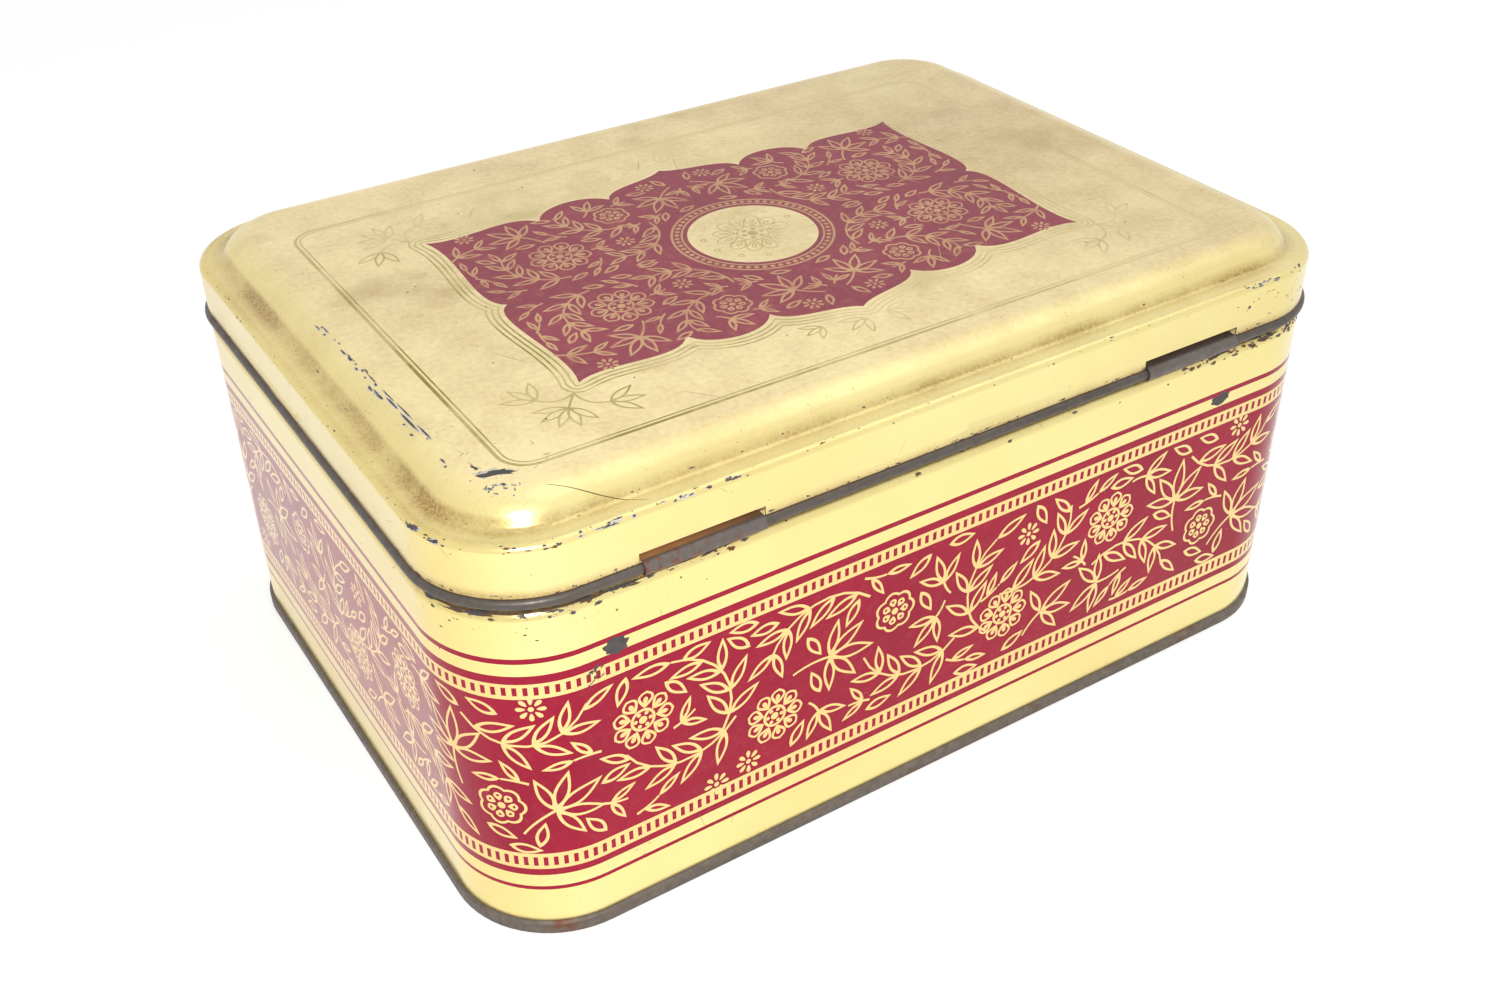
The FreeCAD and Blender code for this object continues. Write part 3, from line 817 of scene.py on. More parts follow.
    def daisy(self, centre: Points, radius: float, count: int, seeds: int = 6) -> None:
        """Draw a flower of outlined petals round a seeded middle.

        Args:
            centre: Middle of the flower.
            radius: Its radius.
            count: How many petals.
            seeds: How many dots stand round the middle one.
        """
        outer, inner = (2.0 * math.pi * radius * DAISY_SPACING / count * share for share in DAISY_WIDTHS)
        middle = radius * DAISY_MIDDLE
        self.petals(centre, count, middle, radius, outer)
        self.petals(centre, count, *(radius * share for share in DAISY_INNER), inner)
        self.ring(centre, middle, middle - self.width)
        self.ring(centre, radius * DAISY_DOT)
        for number in range(seeds):
            spot = centre + radius * DAISY_SEED_RING * heading(2.0 * math.pi * number / seeds)
            self.ring(spot, radius * DAISY_SEED)
        self.take_disc(centre, radius)

    def rosette(self, centre: Points, radius: float, count: int = 7, points: int = 56) -> None:
        """Draw a small flower with a lobed edge.

        Args:
            centre: Middle of the flower.
            radius: Its radius.
            count: How many lobes and petals.
            points: How many points its edge has.
        """
        angles = np.linspace(0.0, 2.0 * math.pi, points, endpoint=False)
        least, lobes = ROSETTE_EDGE
        edge = radius * (least + lobes * np.abs(np.cos(count / 2.0 * angles)))
        self.outlined(centre + circle(points) * edge[:, None],
                      centre + circle(points) * (edge - self.width)[:, None])
        self.petals(centre, count, *(radius * share for share in ROSETTE_PETALS))
        self.ring(centre, radius * ROSETTE_DOT)
        self.take_disc(centre, radius)

    def repeated(self) -> list[Shape]:
        """Copy the shapes that cross the ends of the repeat.

        Returns:
            All shapes, with the copies.
        """
        every = list(self.shapes)
        for shape in self.shapes:
            if shape.outline[:, 0].min() < 0.0:
                every.append(shape.moved(self.period))
            if shape.outline[:, 0].max() > self.period:
                every.append(shape.moved(-self.period))
        return every


@dataclass(frozen=True)
class Place:
    """Where a growth is tried: root, direction in radians, length of the large leaves, and side."""

    base: Points
    angle: float
    scale: float
    side: float


@dataclass(frozen=True)
class Fan:
    """Leaves that spread from the end of a short stem; lengths are shares of the large leaves' length."""

    leaves: int
    spread: float
    size: float
    stem: float
    fewest: int
    stem_curl: float = 0.5
    shrink: float = 0.12

    def grow(self, drawing: Drawing, place: Place) -> None:
        """Draw the fan if enough of its leaves have room.

        Args:
            drawing: Drawing that gets it.
            place: Where to draw it.
        """
        angles = place.angle + math.pi + self.stem_curl * np.linspace(0.0, 1.0, FAN_STEM_POINTS)
        stem = stem_line(place.base, angles, place.scale * self.stem)
        if not drawing.clear(stem, np.full(len(stem), drawing.width / 2.0), drawing.stem_gap):
            return
        start, before = len(drawing.shapes), drawing.taken
        fresh: list[Points] = []
        for number in range(self.leaves):
            off = (number / (self.leaves - 1) - 0.5) * self.spread
            drawing.taken = before
            long = place.scale * self.size * (1.0 - self.shrink * abs(off))
            if drawing.leaf(place.base, place.angle + off, long):
                fresh.append(drawing.taken[len(before):])
        drawing.taken = np.concatenate([before, *fresh])
        drawing.kept(len(fresh) >= self.fewest, start, before, stem)


@dataclass(frozen=True)
class Twig:
    """Stem with leaves in pairs and one at its tip; lengths are shares of the large leaves' length."""

    stem: float
    curl: float
    pairs: int
    size: float
    bare: float
    fewest: int
    either_way: bool = False
    last_pair: float = 0.94
    tip_size: float = 0.95
    shrink: float = 0.16
    leaf_turn: tuple[float, float] = (0.8, 0.2)

    def grow(self, drawing: Drawing, place: Place) -> None:
        """Draw the twig if enough of its leaves have room.

        Args:
            drawing: Drawing that gets it.
            place: Where to draw it.
        """
        angles = place.angle + place.side * self.curl * OUTLINE_STEPS
        stem = stem_line(place.base, angles, place.scale * self.stem)
        tested = stem[2:]
        if not drawing.clear(tested, np.full(len(tested), drawing.width / 2.0), drawing.stem_gap):
            return
        start, before = len(drawing.shapes), drawing.taken
        size = place.scale * self.size
        drawn = drawing.leaf(stem[-1], float(angles[-1]), size * self.tip_size)
        for number in range(self.pairs):
            share = self.bare + (self.last_pair - self.bare) * number / max(self.pairs - 1, 1)
            spot = np.array([np.interp(share, OUTLINE_STEPS, stem[:, axis]) for axis in (0, 1)])
            way = float(np.interp(share, OUTLINE_STEPS, angles))
            turn = self.leaf_turn[0] - self.leaf_turn[1] * share
            for side in (1.0, -1.0):
                drawn += drawing.leaf(spot, way + side * turn, size * (1.0 - self.shrink * share))
        drawing.kept(drawn >= self.fewest, start, before, stem)


@dataclass(frozen=True)
class Star:
    """Small star of dashes round a dot, of a radius in millimetres."""

    radius: float
    dashes: int = 8
    gap: float = 0.7

    def grow(self, drawing: Drawing, place: Place) -> None:
        """Draw the star if there is room.

        Args:
            drawing: Drawing that gets it.
            place: Where to draw it.
        """
        if not drawing.clear(place.base[None, :], np.array([self.radius]), self.gap):
            return
        for number in range(self.dashes):
            ahead = heading(2.0 * math.pi * number / self.dashes)
            line = place.base + ahead * self.radius * DASH_STEPS[:, None]
            drawing.shapes.append(Shape(ribbon(line, self.radius * DASH_WIDTHS), drawing.line))
        drawing.ring(place.base, self.radius * STAR_DOT)
        drawing.take_disc(place.base, self.radius)


@dataclass(frozen=True)
class LooseLeaf:
    """Single leaf, with its length and width as shares of the large leaves' length."""

    length: float
    width: float
    room: float = 0.4

    def grow(self, drawing: Drawing, place: Place) -> None:
        """Draw the leaf at a place of a drawing if there is room."""
        if drawing.clear(place.base[None, :], np.array([self.room]), self.room):
            drawing.leaf(place.base, place.angle, place.scale * self.length, place.scale * self.width)


# How often a growth is tried, and the growth.
LARGE_GROWTHS = (
    (40, Fan(leaves=5, spread=2.9, size=1.0, stem=0.8, fewest=5)),
    (1100, Twig(stem=2.6, curl=2.0, pairs=5, size=0.8, bare=0.12, fewest=8, either_way=True)),
    (300, Fan(leaves=5, spread=2.9, size=0.9, stem=0.6, fewest=4)),
    (900, Twig(stem=1.7, curl=1.2, pairs=3, size=0.82, bare=0.2, fewest=5, either_way=True)),
)
SMALL_GROWTHS = (
    (2000, Twig(stem=1.0, curl=0.5, pairs=2, size=0.74, bare=0.3, fewest=4)),
    (2000, Fan(leaves=3, spread=1.7, size=0.74, stem=0.36, fewest=3)),
    (2000, Twig(stem=0.5, curl=0.4, pairs=1, size=0.6, bare=0.3, fewest=2)),
    (2500, LooseLeaf(length=0.62, width=0.24)),
)


# Tolerances in millimetres: at the end of a run, of one place, of a cut in an opening, of points made one.
SNAP = 1e-9
SAME_PLACE = 1e-7
SLACK = 1e-6
WELD = 1e-5
# The flat map: gap between sheets, size and pitch of the faces of cut edges, and share left at its edges.
SHEET_GAP = 1.0
EDGE_MAP = (1.0, 0.4)
EDGE_SHELF = 0.5
MAP_MARGIN = 0.001


@dataclass(frozen=True)
class Plan:
    """Outline of the wall in plan, walked anticlockwise from the middle of the hinge side."""

    length: float = 220.0
    depth: float = 160.0
    radius: float = 23.0
    tiles: int = 4
    corner_cuts: int = 44
    opening_edges: tuple[float, ...] = (48.0, 48.35, 74.65, 75.0)

    @property
    def straight(self) -> tuple[float, float]:
        """Straight lengths of the long and the short sides."""
        return self.length - 2.0 * self.radius, self.depth - 2.0 * self.radius

    @property
    def bend(self) -> float:
        """Length of one corner."""
        return math.pi / 2.0 * self.radius

    @property
    def around(self) -> float:
        """Length of the whole outline."""
        return 2.0 * sum(self.straight) + 4.0 * self.bend

    @property
    def tile(self) -> float:
        """Length of one repeat of the print."""
        return self.around / self.tiles

    def cuts(self) -> Points:
        """Places in one repeat where every ring of the box is cut across.

        Returns:
            Distances along the repeat, finest where corners fall, with the sides of the openings.
        """
        first, last = self.straight[1] / 2.0, self.straight[0] / 2.0 + self.bend
        fine = np.linspace(first, last, self.corner_cuts + 1)
        edges = np.array(self.opening_edges)
        return np.unique(np.concatenate([[0.0, self.tile], fine, edges, self.tile - edges]).round(6))

    def place(self, along: Points, out: Points) -> tuple[Points, Points]:
        """Points and outward directions in plan.

        Args:
            along: Distances along the outline.
            out: Distances outward from it.

        Returns:
            The points, and unit vectors that point out of the box.
        """
        long, short = self.straight
        x, y = long / 2.0, short / 2.0
        runs = (
            (long / 2.0, (0.0, y), (-1.0, 0.0), 90.0), (self.bend, (-x, y), None, 90.0),
            (short, (-x, y), (0.0, -1.0), 180.0), (self.bend, (-x, -y), None, 180.0),
            (long, (-x, -y), (1.0, 0.0), 270.0), (self.bend, (x, -y), None, 270.0),
            (short, (x, -y), (0.0, 1.0), 0.0), (self.bend, (x, y), None, 0.0),
            (long / 2.0, (x, y), (-1.0, 0.0), 90.0),
        )
        ends = np.cumsum([run[0] for run in runs])
        index = np.minimum(np.searchsorted(ends, along - SNAP), len(runs) - 1)
        points = np.zeros((len(along), 2))
        facing = np.zeros((len(along), 2))
        for number, (span, corner, way, angle) in enumerate(runs):
            mask = index == number
            gone = along[mask] - (ends[number] - span)
            turn = np.full(len(gone), math.radians(angle))
            if way is None:
                turn = turn + gone / self.radius
            facing[mask] = directions(turn)
            points[mask] = np.array(corner) + facing[mask] * (self.radius + out[mask])[:, None]
            if way is not None:
                points[mask] += np.array(way) * gone[:, None]
        return points, facing

    def hinge_side(self, x: float) -> float:
        """Distance along the outline of a place on the hinge side."""
        return -x if x <= 0.0 else self.around - x

    def right_side(self, y: float) -> float:
        """Distance along the outline of a place on the +X side."""
        return self.around - self.straight[0] / 2.0 - self.bend - self.straight[1] / 2.0 + y

    def near_corner(self, degrees: float) -> float:
        """Distance along the outline of a place on the corner between the +X and the hinge side."""
        return self.around - self.straight[0] / 2.0 - self.bend + math.radians(degrees) * self.radius


class Profile:
    """Smooth section line of a sheet, as stations with their offset, height and facing."""

    def __init__(self) -> None:
        """Start an empty line."""
        self.rows: list[tuple[float, ...]] = []
        self.marks: dict[str, float] = {}

    def _add(self, offset: float, height: float, facing: Sequence[float], share: float, wear: Wear) -> None:
        """Append one station unless it is where the last one is.

        Args:
            offset: Offset from the wall.
            height: Height.
            facing: Direction that the surface faces, outward and up.
            share: Share of the stretch that is passed.
            wear: Wear of the stretch.
        """
        run = 0.0
        if self.rows:
            run = self.rows[-1][0] + math.hypot(offset - self.rows[-1][1], height - self.rows[-1][2])
            if run - self.rows[-1][0] < SAME_PLACE:
                return
        age, dirt_and_shade = (first + (last - first) * share for first, last in (wear[:2], wear[2:]))
        self.rows.append((run, offset, height, *facing, age, dirt_and_shade))

    def line(self, start: Sequence[float], end: Sequence[float], cuts: int = 1,
             wear: Wear = (0.0, 0.0, 0.0, 0.0)) -> "Profile":
        """Add a straight stretch.

        Args:
            start: Offset and height where it starts.
            end: Offset and height where it ends.
            cuts: How many parts it is cut into.
            wear: Age at both ends, then dirt and painted shade at both ends.

        Returns:
            The profile itself.
        """
        span = math.hypot(end[0] - start[0], end[1] - start[1])
        facing = ((end[1] - start[1]) / span, (start[0] - end[0]) / span)
        for share in np.linspace(0.0, 1.0, cuts + 1):
            offset, height = (first + (last - first) * share for first, last in zip(start, end))
            self._add(offset, height, facing, share, wear)
        return self

    def arc(self, centre: Sequence[float], radius: float, start: float, end: float, cuts: int,
            wear: Wear = (0.0, 0.0, 0.0, 0.0)) -> "Profile":
        """Add a round stretch.

        Args:
            centre: Offset and height of its centre.
            radius: Its radius.
            start: Angle where it starts, in degrees.
            end: Angle where it ends, in degrees.
            cuts: How many parts it is cut into.
            wear: Age at both ends, then dirt and painted shade at both ends.

        Returns:
            The profile itself.
        """
        way = 1.0 if end > start else -1.0
        for share in np.linspace(0.0, 1.0, cuts + 1):
            angle = math.radians(start + (end - start) * share)
            cos, sin = math.cos(angle), math.sin(angle)
            offset, height = centre[0] + radius * cos, centre[1] + radius * sin
            self._add(offset, height, (way * cos, way * sin), share, wear)
        return self

    def mark(self, name: str) -> "Profile":
        """Name the distance reached so far."""
        self.marks[name] = self.rows[-1][0]
        return self

    @property
    def stations(self) -> Points:
        """Distances of the stations along the line."""
        return np.array([row[0] for row in self.rows])

    def at(self, run: Points) -> Points:
        """Offset, height, facing, age, and dirt with painted shade, at distances along the line.

        Args:
            run: Distances along the line.

        Returns:
            One row of six values for each distance.
        """
        table = np.array(self.rows)
        return np.stack([np.interp(run, table[:, 0], table[:, column]) for column in range(1, 7)], axis=1)


@dataclass
class Patch:
    """Faces of one stretch of surface, with what its corners carry."""

    points: Points
    normals: Points
    faces: list[tuple[int, ...]]
    finishes: list[Finish]
    wear: Points
    uv: Points


@dataclass
class Sheet:
    """Drawing that is cut into faces along its shapes and grid lines."""

    domain: Points
    ground: Finish
    across: Sequence[float] = ()
    up: Sequence[float] = ()
    shapes: list[Shape] = field(default_factory=list)

    def cut(self) -> tuple[Points, list[tuple[int, ...]], list[Finish]]:
        """Cut the drawing.

        Returns:
            The corners, the faces as numbers of corners, and the finish of each face.
        """
        low, high = self.domain.min(axis=0), self.domain.max(axis=0)
        points: list[Points] = []
        faces: list[list[int]] = []
        for outline in (self.domain, *(shape.outline for shape in self.shapes)):
            x, y = outline[:, 0], outline[:, 1]
            if float(np.sum(x * np.roll(y, -1) - y * np.roll(x, -1))) < 0.0:
                outline = outline[::-1]
            first = sum(len(part) for part in points)
            faces.append(list(range(first, first + len(outline))))
            points.append(outline)
        edges: list[tuple[int, int]] = []
        lines = [((value, low[1]), (value, high[1])) for value in self.across]
        lines += [((low[0], value), (high[0], value)) for value in self.up]
        for line in lines:
            first = sum(len(part) for part in points)
            points.append(np.array(line))
            edges.append((first, first + 1))
        flat = [Vector((float(x), float(y))) for x, y in np.concatenate(points)]
        corners, _, cells, _, _, sources = delaunay_2d_cdt(flat, edges, faces, 0, WELD)
        kept: list[tuple[int, ...]] = []
        finishes: list[Finish] = []
        for cell, source in zip(cells, sources):
            if 0 not in source:
                continue
            top = max(source)
            finish = self.ground if top == 0 else self.shapes[top - 1].finish
            if finish is not None:
                kept.append(tuple(cell))
                finishes.append(finish)
        return np.array([tuple(corner) for corner in corners]), kept, finishes


class Skin:
    """Mesh of one piece, gathered from patches."""

    def __init__(self, name: str, plan: Plan) -> None:
        """Start an empty skin.

        Args:
            name: Name of the piece.
            plan: Outline of the box.
        """
        self.name = name
        self.plan = plan
        self.shelf = 0.0
        self.patches: list[Patch] = []

    def ring(self, profile: Profile, ground: Finish, shapes: Optional[dict[int, list[Shape]]] = None,
             holes: Sequence[Opening] = ()) -> None:
        """Lay a sheet round the box along a profile, one repeat after the other.

        Args:
            profile: Section of the sheet, from its lower or inner edge on.
            ground: Finish where nothing is drawn.
            shapes: Shapes by number of the repeat, with their own distances along it.
            holes: Openings as two distances round the box and two along the profile.
        """
        high = float(profile.stations[-1])
        for tile in range(self.plan.tiles):
            begin = tile * self.plan.tile
            drawn = list(shapes[tile]) if shapes else []
            up = set(profile.stations.round(6))
            for x0, x1, y0, y1 in holes:
                drawn.append(box_shape(x0 - begin, x1 - begin, y0, y1, None))
                up |= {y0, y1}
            domain = box_shape(0.0, self.plan.tile, 0.0, high, ground).outline
            flat, faces, finishes = Sheet(domain, ground, self.plan.cuts(), sorted(up), drawn).cut()
            values = profile.at(flat[:, 1])
            spots, facing = self.plan.place(flat[:, 0] + begin, values[:, 0])
            row = self.shelf + (tile % 2) * high + flat[:, 1]
            uv = np.stack([flat[:, 0] + (tile // 2) * self.plan.tile, row], axis=1)
            self.patches.append(Patch(np.column_stack([spots, values[:, 1]]),
                                      np.column_stack([facing * values[:, 2:3], values[:, 3]]),
                                      faces, finishes, values[:, 4:], uv))
        self.shelf += 2.0 * high + SHEET_GAP

    def band(self, start: Sequence[float], end: Sequence[float], finish: Finish) -> None:
        """Lay a straight stretch of section round the box, from one offset and height to another."""
        self.ring(Profile().line(start, end), finish)

    def level(self, domain: Points, height: float, upward: bool, ground: Finish,
              shapes: Sequence[Shape] = (), wear: tuple[float, float] = (0.0, 0.0)) -> None:
        """Lay a sheet flat.

        Args:
            domain: Outline in plan.
            height: Height of the sheet.
            upward: Whether it faces up.
            ground: Finish where nothing is drawn.
            shapes: Shapes drawn on it.
            wear: Age, and dirt with painted shade, of the sheet.
        """
        flat, faces, finishes = Sheet(domain, ground, (), (), list(shapes)).cut()
        side = 1.0 if upward else -1.0
        if not upward:
            faces = [face[::-1] for face in faces]
        normals = np.zeros((len(flat), 3))
        normals[:, 2] = side
        uv = flat - domain.min(axis=0) + np.array([0.0, self.shelf])
        self.patches.append(Patch(np.column_stack([flat, np.full(len(flat), height)]), normals, faces,
                                  finishes, np.tile(wear, (len(flat), 1)), uv))
        self.shelf += float(np.ptp(domain[:, 1])) + SHEET_GAP

    def quad(self, corners: Points, normal: Sequence[float], finish: Finish) -> None:
        """Add one four-sided face.

        Args:
            corners: Its corners in order.
            normal: Direction that it faces.
            finish: Its finish.
        """
        facing = np.cross(corners[1] - corners[0], corners[2] - corners[0])
        order = (0, 1, 2, 3) if float(np.dot(facing, normal)) > 0.0 else (3, 2, 1, 0)
        wide, tall = EDGE_MAP
        uv = box_shape(0.0, wide, self.shelf, self.shelf + tall, finish).outline
        normals = np.tile(normal, (4, 1))
        self.patches.append(Patch(corners, normals, [order], [finish], np.zeros((4, 2)), uv))
        self.shelf += EDGE_SHELF

    def edges(self, outer: Profile, inner: Profile, hole: Opening, finish: Finish) -> None:
        """Close the rim of an opening between the two faces of a straight sheet.

        Args:
            outer: Section of the outer face.
            inner: Section of the inner face.
            hole: Two distances round the box and two heights.
            finish: Finish of the cut edge.
        """
        x0, x1, low, high = hole
        tile = int(x0 // self.plan.tile) * self.plan.tile
        cuts = [cut + tile for cut in self.plan.cuts() if x0 - SLACK <= cut + tile <= x1 + SLACK]
        offsets = [profile.rows[0][1] for profile in (outer, inner)]

        def rim(along: float, height: float) -> list[Points]:
            """Points of the rim on the outer and the inner face."""
            places, _ = self.plan.place(np.full(2, along), np.array(offsets))
            return [np.array([*place, height]) for place in places]

        for first, last in zip(cuts, cuts[1:]):
            for height, normal in ((low, (0.0, 0.0, 1.0)), (high, (0.0, 0.0, -1.0))):
                start, end = rim(first, height), rim(last, height)
                self.quad(np.array([start[0], *end, start[1]]), normal, finish)
        for along in (x0, x1):
            inward = rim((x0 + x1) / 2.0, low)[0] - rim(along, low)[0]
            corners = np.array(rim(along, low) + rim(along, high)[::-1])
            self.quad(corners, inward / np.linalg.norm(inward), finish)

    def strip(self, span: Opening, base: float, face: float, finish: Finish, outward: bool) -> None:
        """Add an upright strip that stands off a straight sheet, or a groove sunk into it.

        Args:
            span: Two distances round the box and two heights.
            base: Offset of the sheet.
            face: Offset of the strip's own face.
            finish: Its finish.
            outward: Whether its face looks out of the box.
        """
        x0, x1, low, high = span
        ends, facing = self.plan.place(np.array([x0, x1, x0, x1]), np.array([base, base, face, face]))
        out = np.array([*facing[0], 0.0])
        along = np.array([*(ends[1] - ends[0]), 0.0]) / (x1 - x0)
        sunk = 1.0 if outward else -1.0
        corners = [np.array([*end, height]) for height in (low, high) for end in ends]
        up = np.array([0.0, 0.0, 1.0])
        sides = (((2, 3, 7, 6), out), ((0, 2, 6, 4), along), ((1, 3, 7, 5), -along),
                 ((0, 1, 3, 2), up), ((4, 5, 7, 6), -up))
        for numbers, normal in sides:
            self.quad(np.array([corners[number] for number in numbers]), tuple(sunk * normal), finish)

    def make(self, palette: Palette) -> bpy.types.Object:
        """Build the object.

        Args:
            palette: Materials of the finishes.

        Returns:
            The object, in the scene.
        """
        mesh = bpy.data.meshes.new(self.name)
        starts = np.cumsum([0] + [len(patch.points) for patch in self.patches])
        faces = [tuple(corner + int(start) for corner in face)
                 for patch, start in zip(self.patches, starts) for face in patch.faces]
        mesh.from_pydata(np.concatenate([patch.points for patch in self.patches]) * MM, [], faces)
        for material in palette.slots:
            mesh.materials.append(material)
        numbers = [palette.number(finish) for patch in self.patches for finish in patch.finishes]
        mesh.polygons.foreach_set("material_index", numbers)
        mesh.polygons.foreach_set("use_smooth", [True] * len(numbers))
        wear = np.concatenate([patch.wear for patch in self.patches])
        for column, name in enumerate(("age", "dirt_and_shade")):
            layer = mesh.attributes.new(name, "FLOAT", "POINT")
            layer.data.foreach_set("value", wear[:, column].astype(np.float32))
        corner = np.zeros(len(mesh.loops), dtype=np.int32)
        mesh.loops.foreach_get("vertex_index", corner)
        scale = (1.0 - 2.0 * MAP_MARGIN) / max(2.0 * self.plan.tile, self.shelf)
        uv = np.concatenate([patch.uv for patch in self.patches])[corner] * scale + MAP_MARGIN
        mesh.uv_layers.new(name=UV_NAME).data.foreach_set("uv", uv.astype(np.float32).ravel())
        normals = np.concatenate([patch.normals for patch in self.patches])
        normals /= np.linalg.norm(normals, axis=1)[:, None]
        mesh.normals_split_custom_set_from_vertices(normals.tolist())
        piece = bpy.data.objects.new(self.name, mesh)
        bpy.context.scene.collection.objects.link(piece)
        return piece


BLOB_POINTS = 22
BLOB_WAVES = (2, 3, 5)
BLOB_WAVE = 0.5
BLOB_PHASES = 6.0
RIM_DROP = 0.3
RIM_SEED = 5000
# Other orders in which the values of marks are drawn.
TURN_FIRST = ("along", "run", "turn", "across", "up", "bright")
SIZE_FIRST = ("along", "across", "run", "up", "turn", "bright")
WIDTH_FIRST = ("across", "along", "run", "up", "turn", "bright")


def blob(centre: Sequence[float], across: float, up: float, seed: int, rough: float, turn: float) -> Points:
    """Ragged outline of a chip in the lacquer.

    Args:
        centre: Middle of the chip.
        across: Its half width.
        up: Its half height.
        seed: Number that gives its own raggedness.
        rough: Share of the radius by which the outline wanders.
        turn: Turn of the whole chip, in degrees.

    Returns:
        Points of the outline.
    """
    random = np.random.default_rng(seed)
    angles = np.linspace(0.0, 2.0 * math.pi, BLOB_POINTS, endpoint=False)
    radius = 1.0 + rough * (random.random(BLOB_POINTS) * 2.0 - 1.0)
    for order in BLOB_WAVES:
        radius += rough * BLOB_WAVE * np.sin(order * angles + random.random() * BLOB_PHASES) / order
    ring = np.stack([across * radius * np.cos(angles), up * radius * np.sin(angles)], axis=1)
    cos, sin = heading(math.radians(turn))
    return ring @ np.array([[cos, sin], [-sin, cos]]) + np.array(centre)


@dataclass(frozen=True)
class Mark:
    """Chip, stain or scratch at a distance along a sheet and one up it, with half its width and height."""

    along: float
    run: float
    across: float
    up: float
    seed: int
    finish: Finish = Finish.STEEL
    turn: float = 0.0
    rough: float = 0.4
    bright: float = 0.0

    def shapes(self, along: float, run: float) -> list[Shape]:
        """Draw the mark, over a bright rim if it has one.

        Args:
            along: Distance along the drawing.
            run: Distance up the drawing.

        Returns:
            Its shapes.
        """
        chip = Shape(blob((along, run), self.across, self.up, self.seed, self.rough, self.turn), self.finish)
        if not self.bright:
            return [chip]
        rim = blob((along, run - RIM_DROP * self.bright), self.across + self.bright, self.up + self.bright,
                   self.seed + RIM_SEED, self.rough, self.turn)
        return [Shape(rim, Finish.TIN), chip]


def draw(random: np.random.Generator, least: float, more: float = 0.0, power: float = 1.0) -> float:
    """Random value, nearer the least one at a higher power; without more nothing is drawn."""
    return least + more * random.random() ** power if more else least


@dataclass(frozen=True)
class Batch:
    """Marks of one kind with their number, first seed and limits, whose values are drawn in a set order.

    With a form, the value across is a size that gives half the width and height by the form's shares. An
    order that names "unused" draws a value and leaves it, which keeps the later draws as they are.
    """

    count: int
    seed: int
    along: Draw
    run: Draw
    across: Draw
    up: Draw = (0.0,)
    finishes: tuple[Finish, ...] = (Finish.STEEL,)
    turn: Draw = (0.0,)
    bright: Draw = (0.0,)
    rough: float = 0.4
    form: Optional[tuple[float, float]] = None
    seed_step: int = 1
    along_step: float = 0.0
    run_step: float = 0.0
    zones: tuple[float, ...] = (0.0,)
    unused: Draw = (0.0, 1.0)
    order: tuple[str, ...] = ("along", "run", "across", "up", "turn", "bright")

    def marks(self, random: np.random.Generator) -> Iterator[Mark]:
        """Draw the values of the marks, one mark after the other.

        Args:
            random: Source of the values.

        Returns:
            The marks.
        """
        for number in range(self.count):
            drawn = {name: draw(random, *getattr(self, name)) for name in self.order}
            along = drawn["along"] + self.along_step * number
            run = drawn["run"] + self.run_step * number + self.zones[number % len(self.zones)]
            across, up = drawn["across"], drawn["up"]
            if self.form:
                across, up = (across * share for share in self.form)
            seed = self.seed + self.seed_step * number
            finish = self.finishes[seed % len(self.finishes)]
            yield Mark(along, run, across, up, seed, finish, drawn["turn"], self.rough, drawn["bright"])


def between(start: float, end: float) -> Draw:
    """Limits of an even draw from one value to another."""
    return start, end - start


class WearMap:
    """Shapes of the wear on a ring, by number of the repeat."""

    def __init__(self, plan: Plan, seed: int, zero: float = 0.0) -> None:
        """Start without wear.

        Args:
            plan: Outline of the box.
            seed: Number that gives the random values.
            zero: Value of the marks' second distance where the drawing starts.
        """
        self.plan = plan
        self.random = np.random.default_rng(seed)
        self.zero = zero
        self.shapes: dict[int, list[Shape]] = {tile: [] for tile in range(plan.tiles)}

    def add(self, mark: Mark) -> None:
        """Add one mark in the repeat where it falls."""
        tile, rest = divmod(mark.along, self.plan.tile)
        self.shapes[int(tile)] += mark.shapes(rest, mark.run - self.zero)

    def lay(self, *batches: Batch) -> None:
        """Add the marks of batches, in the order of their random values."""
        for mark in (mark for batch in batches for mark in batch.marks(self.random)):
            self.add(mark)


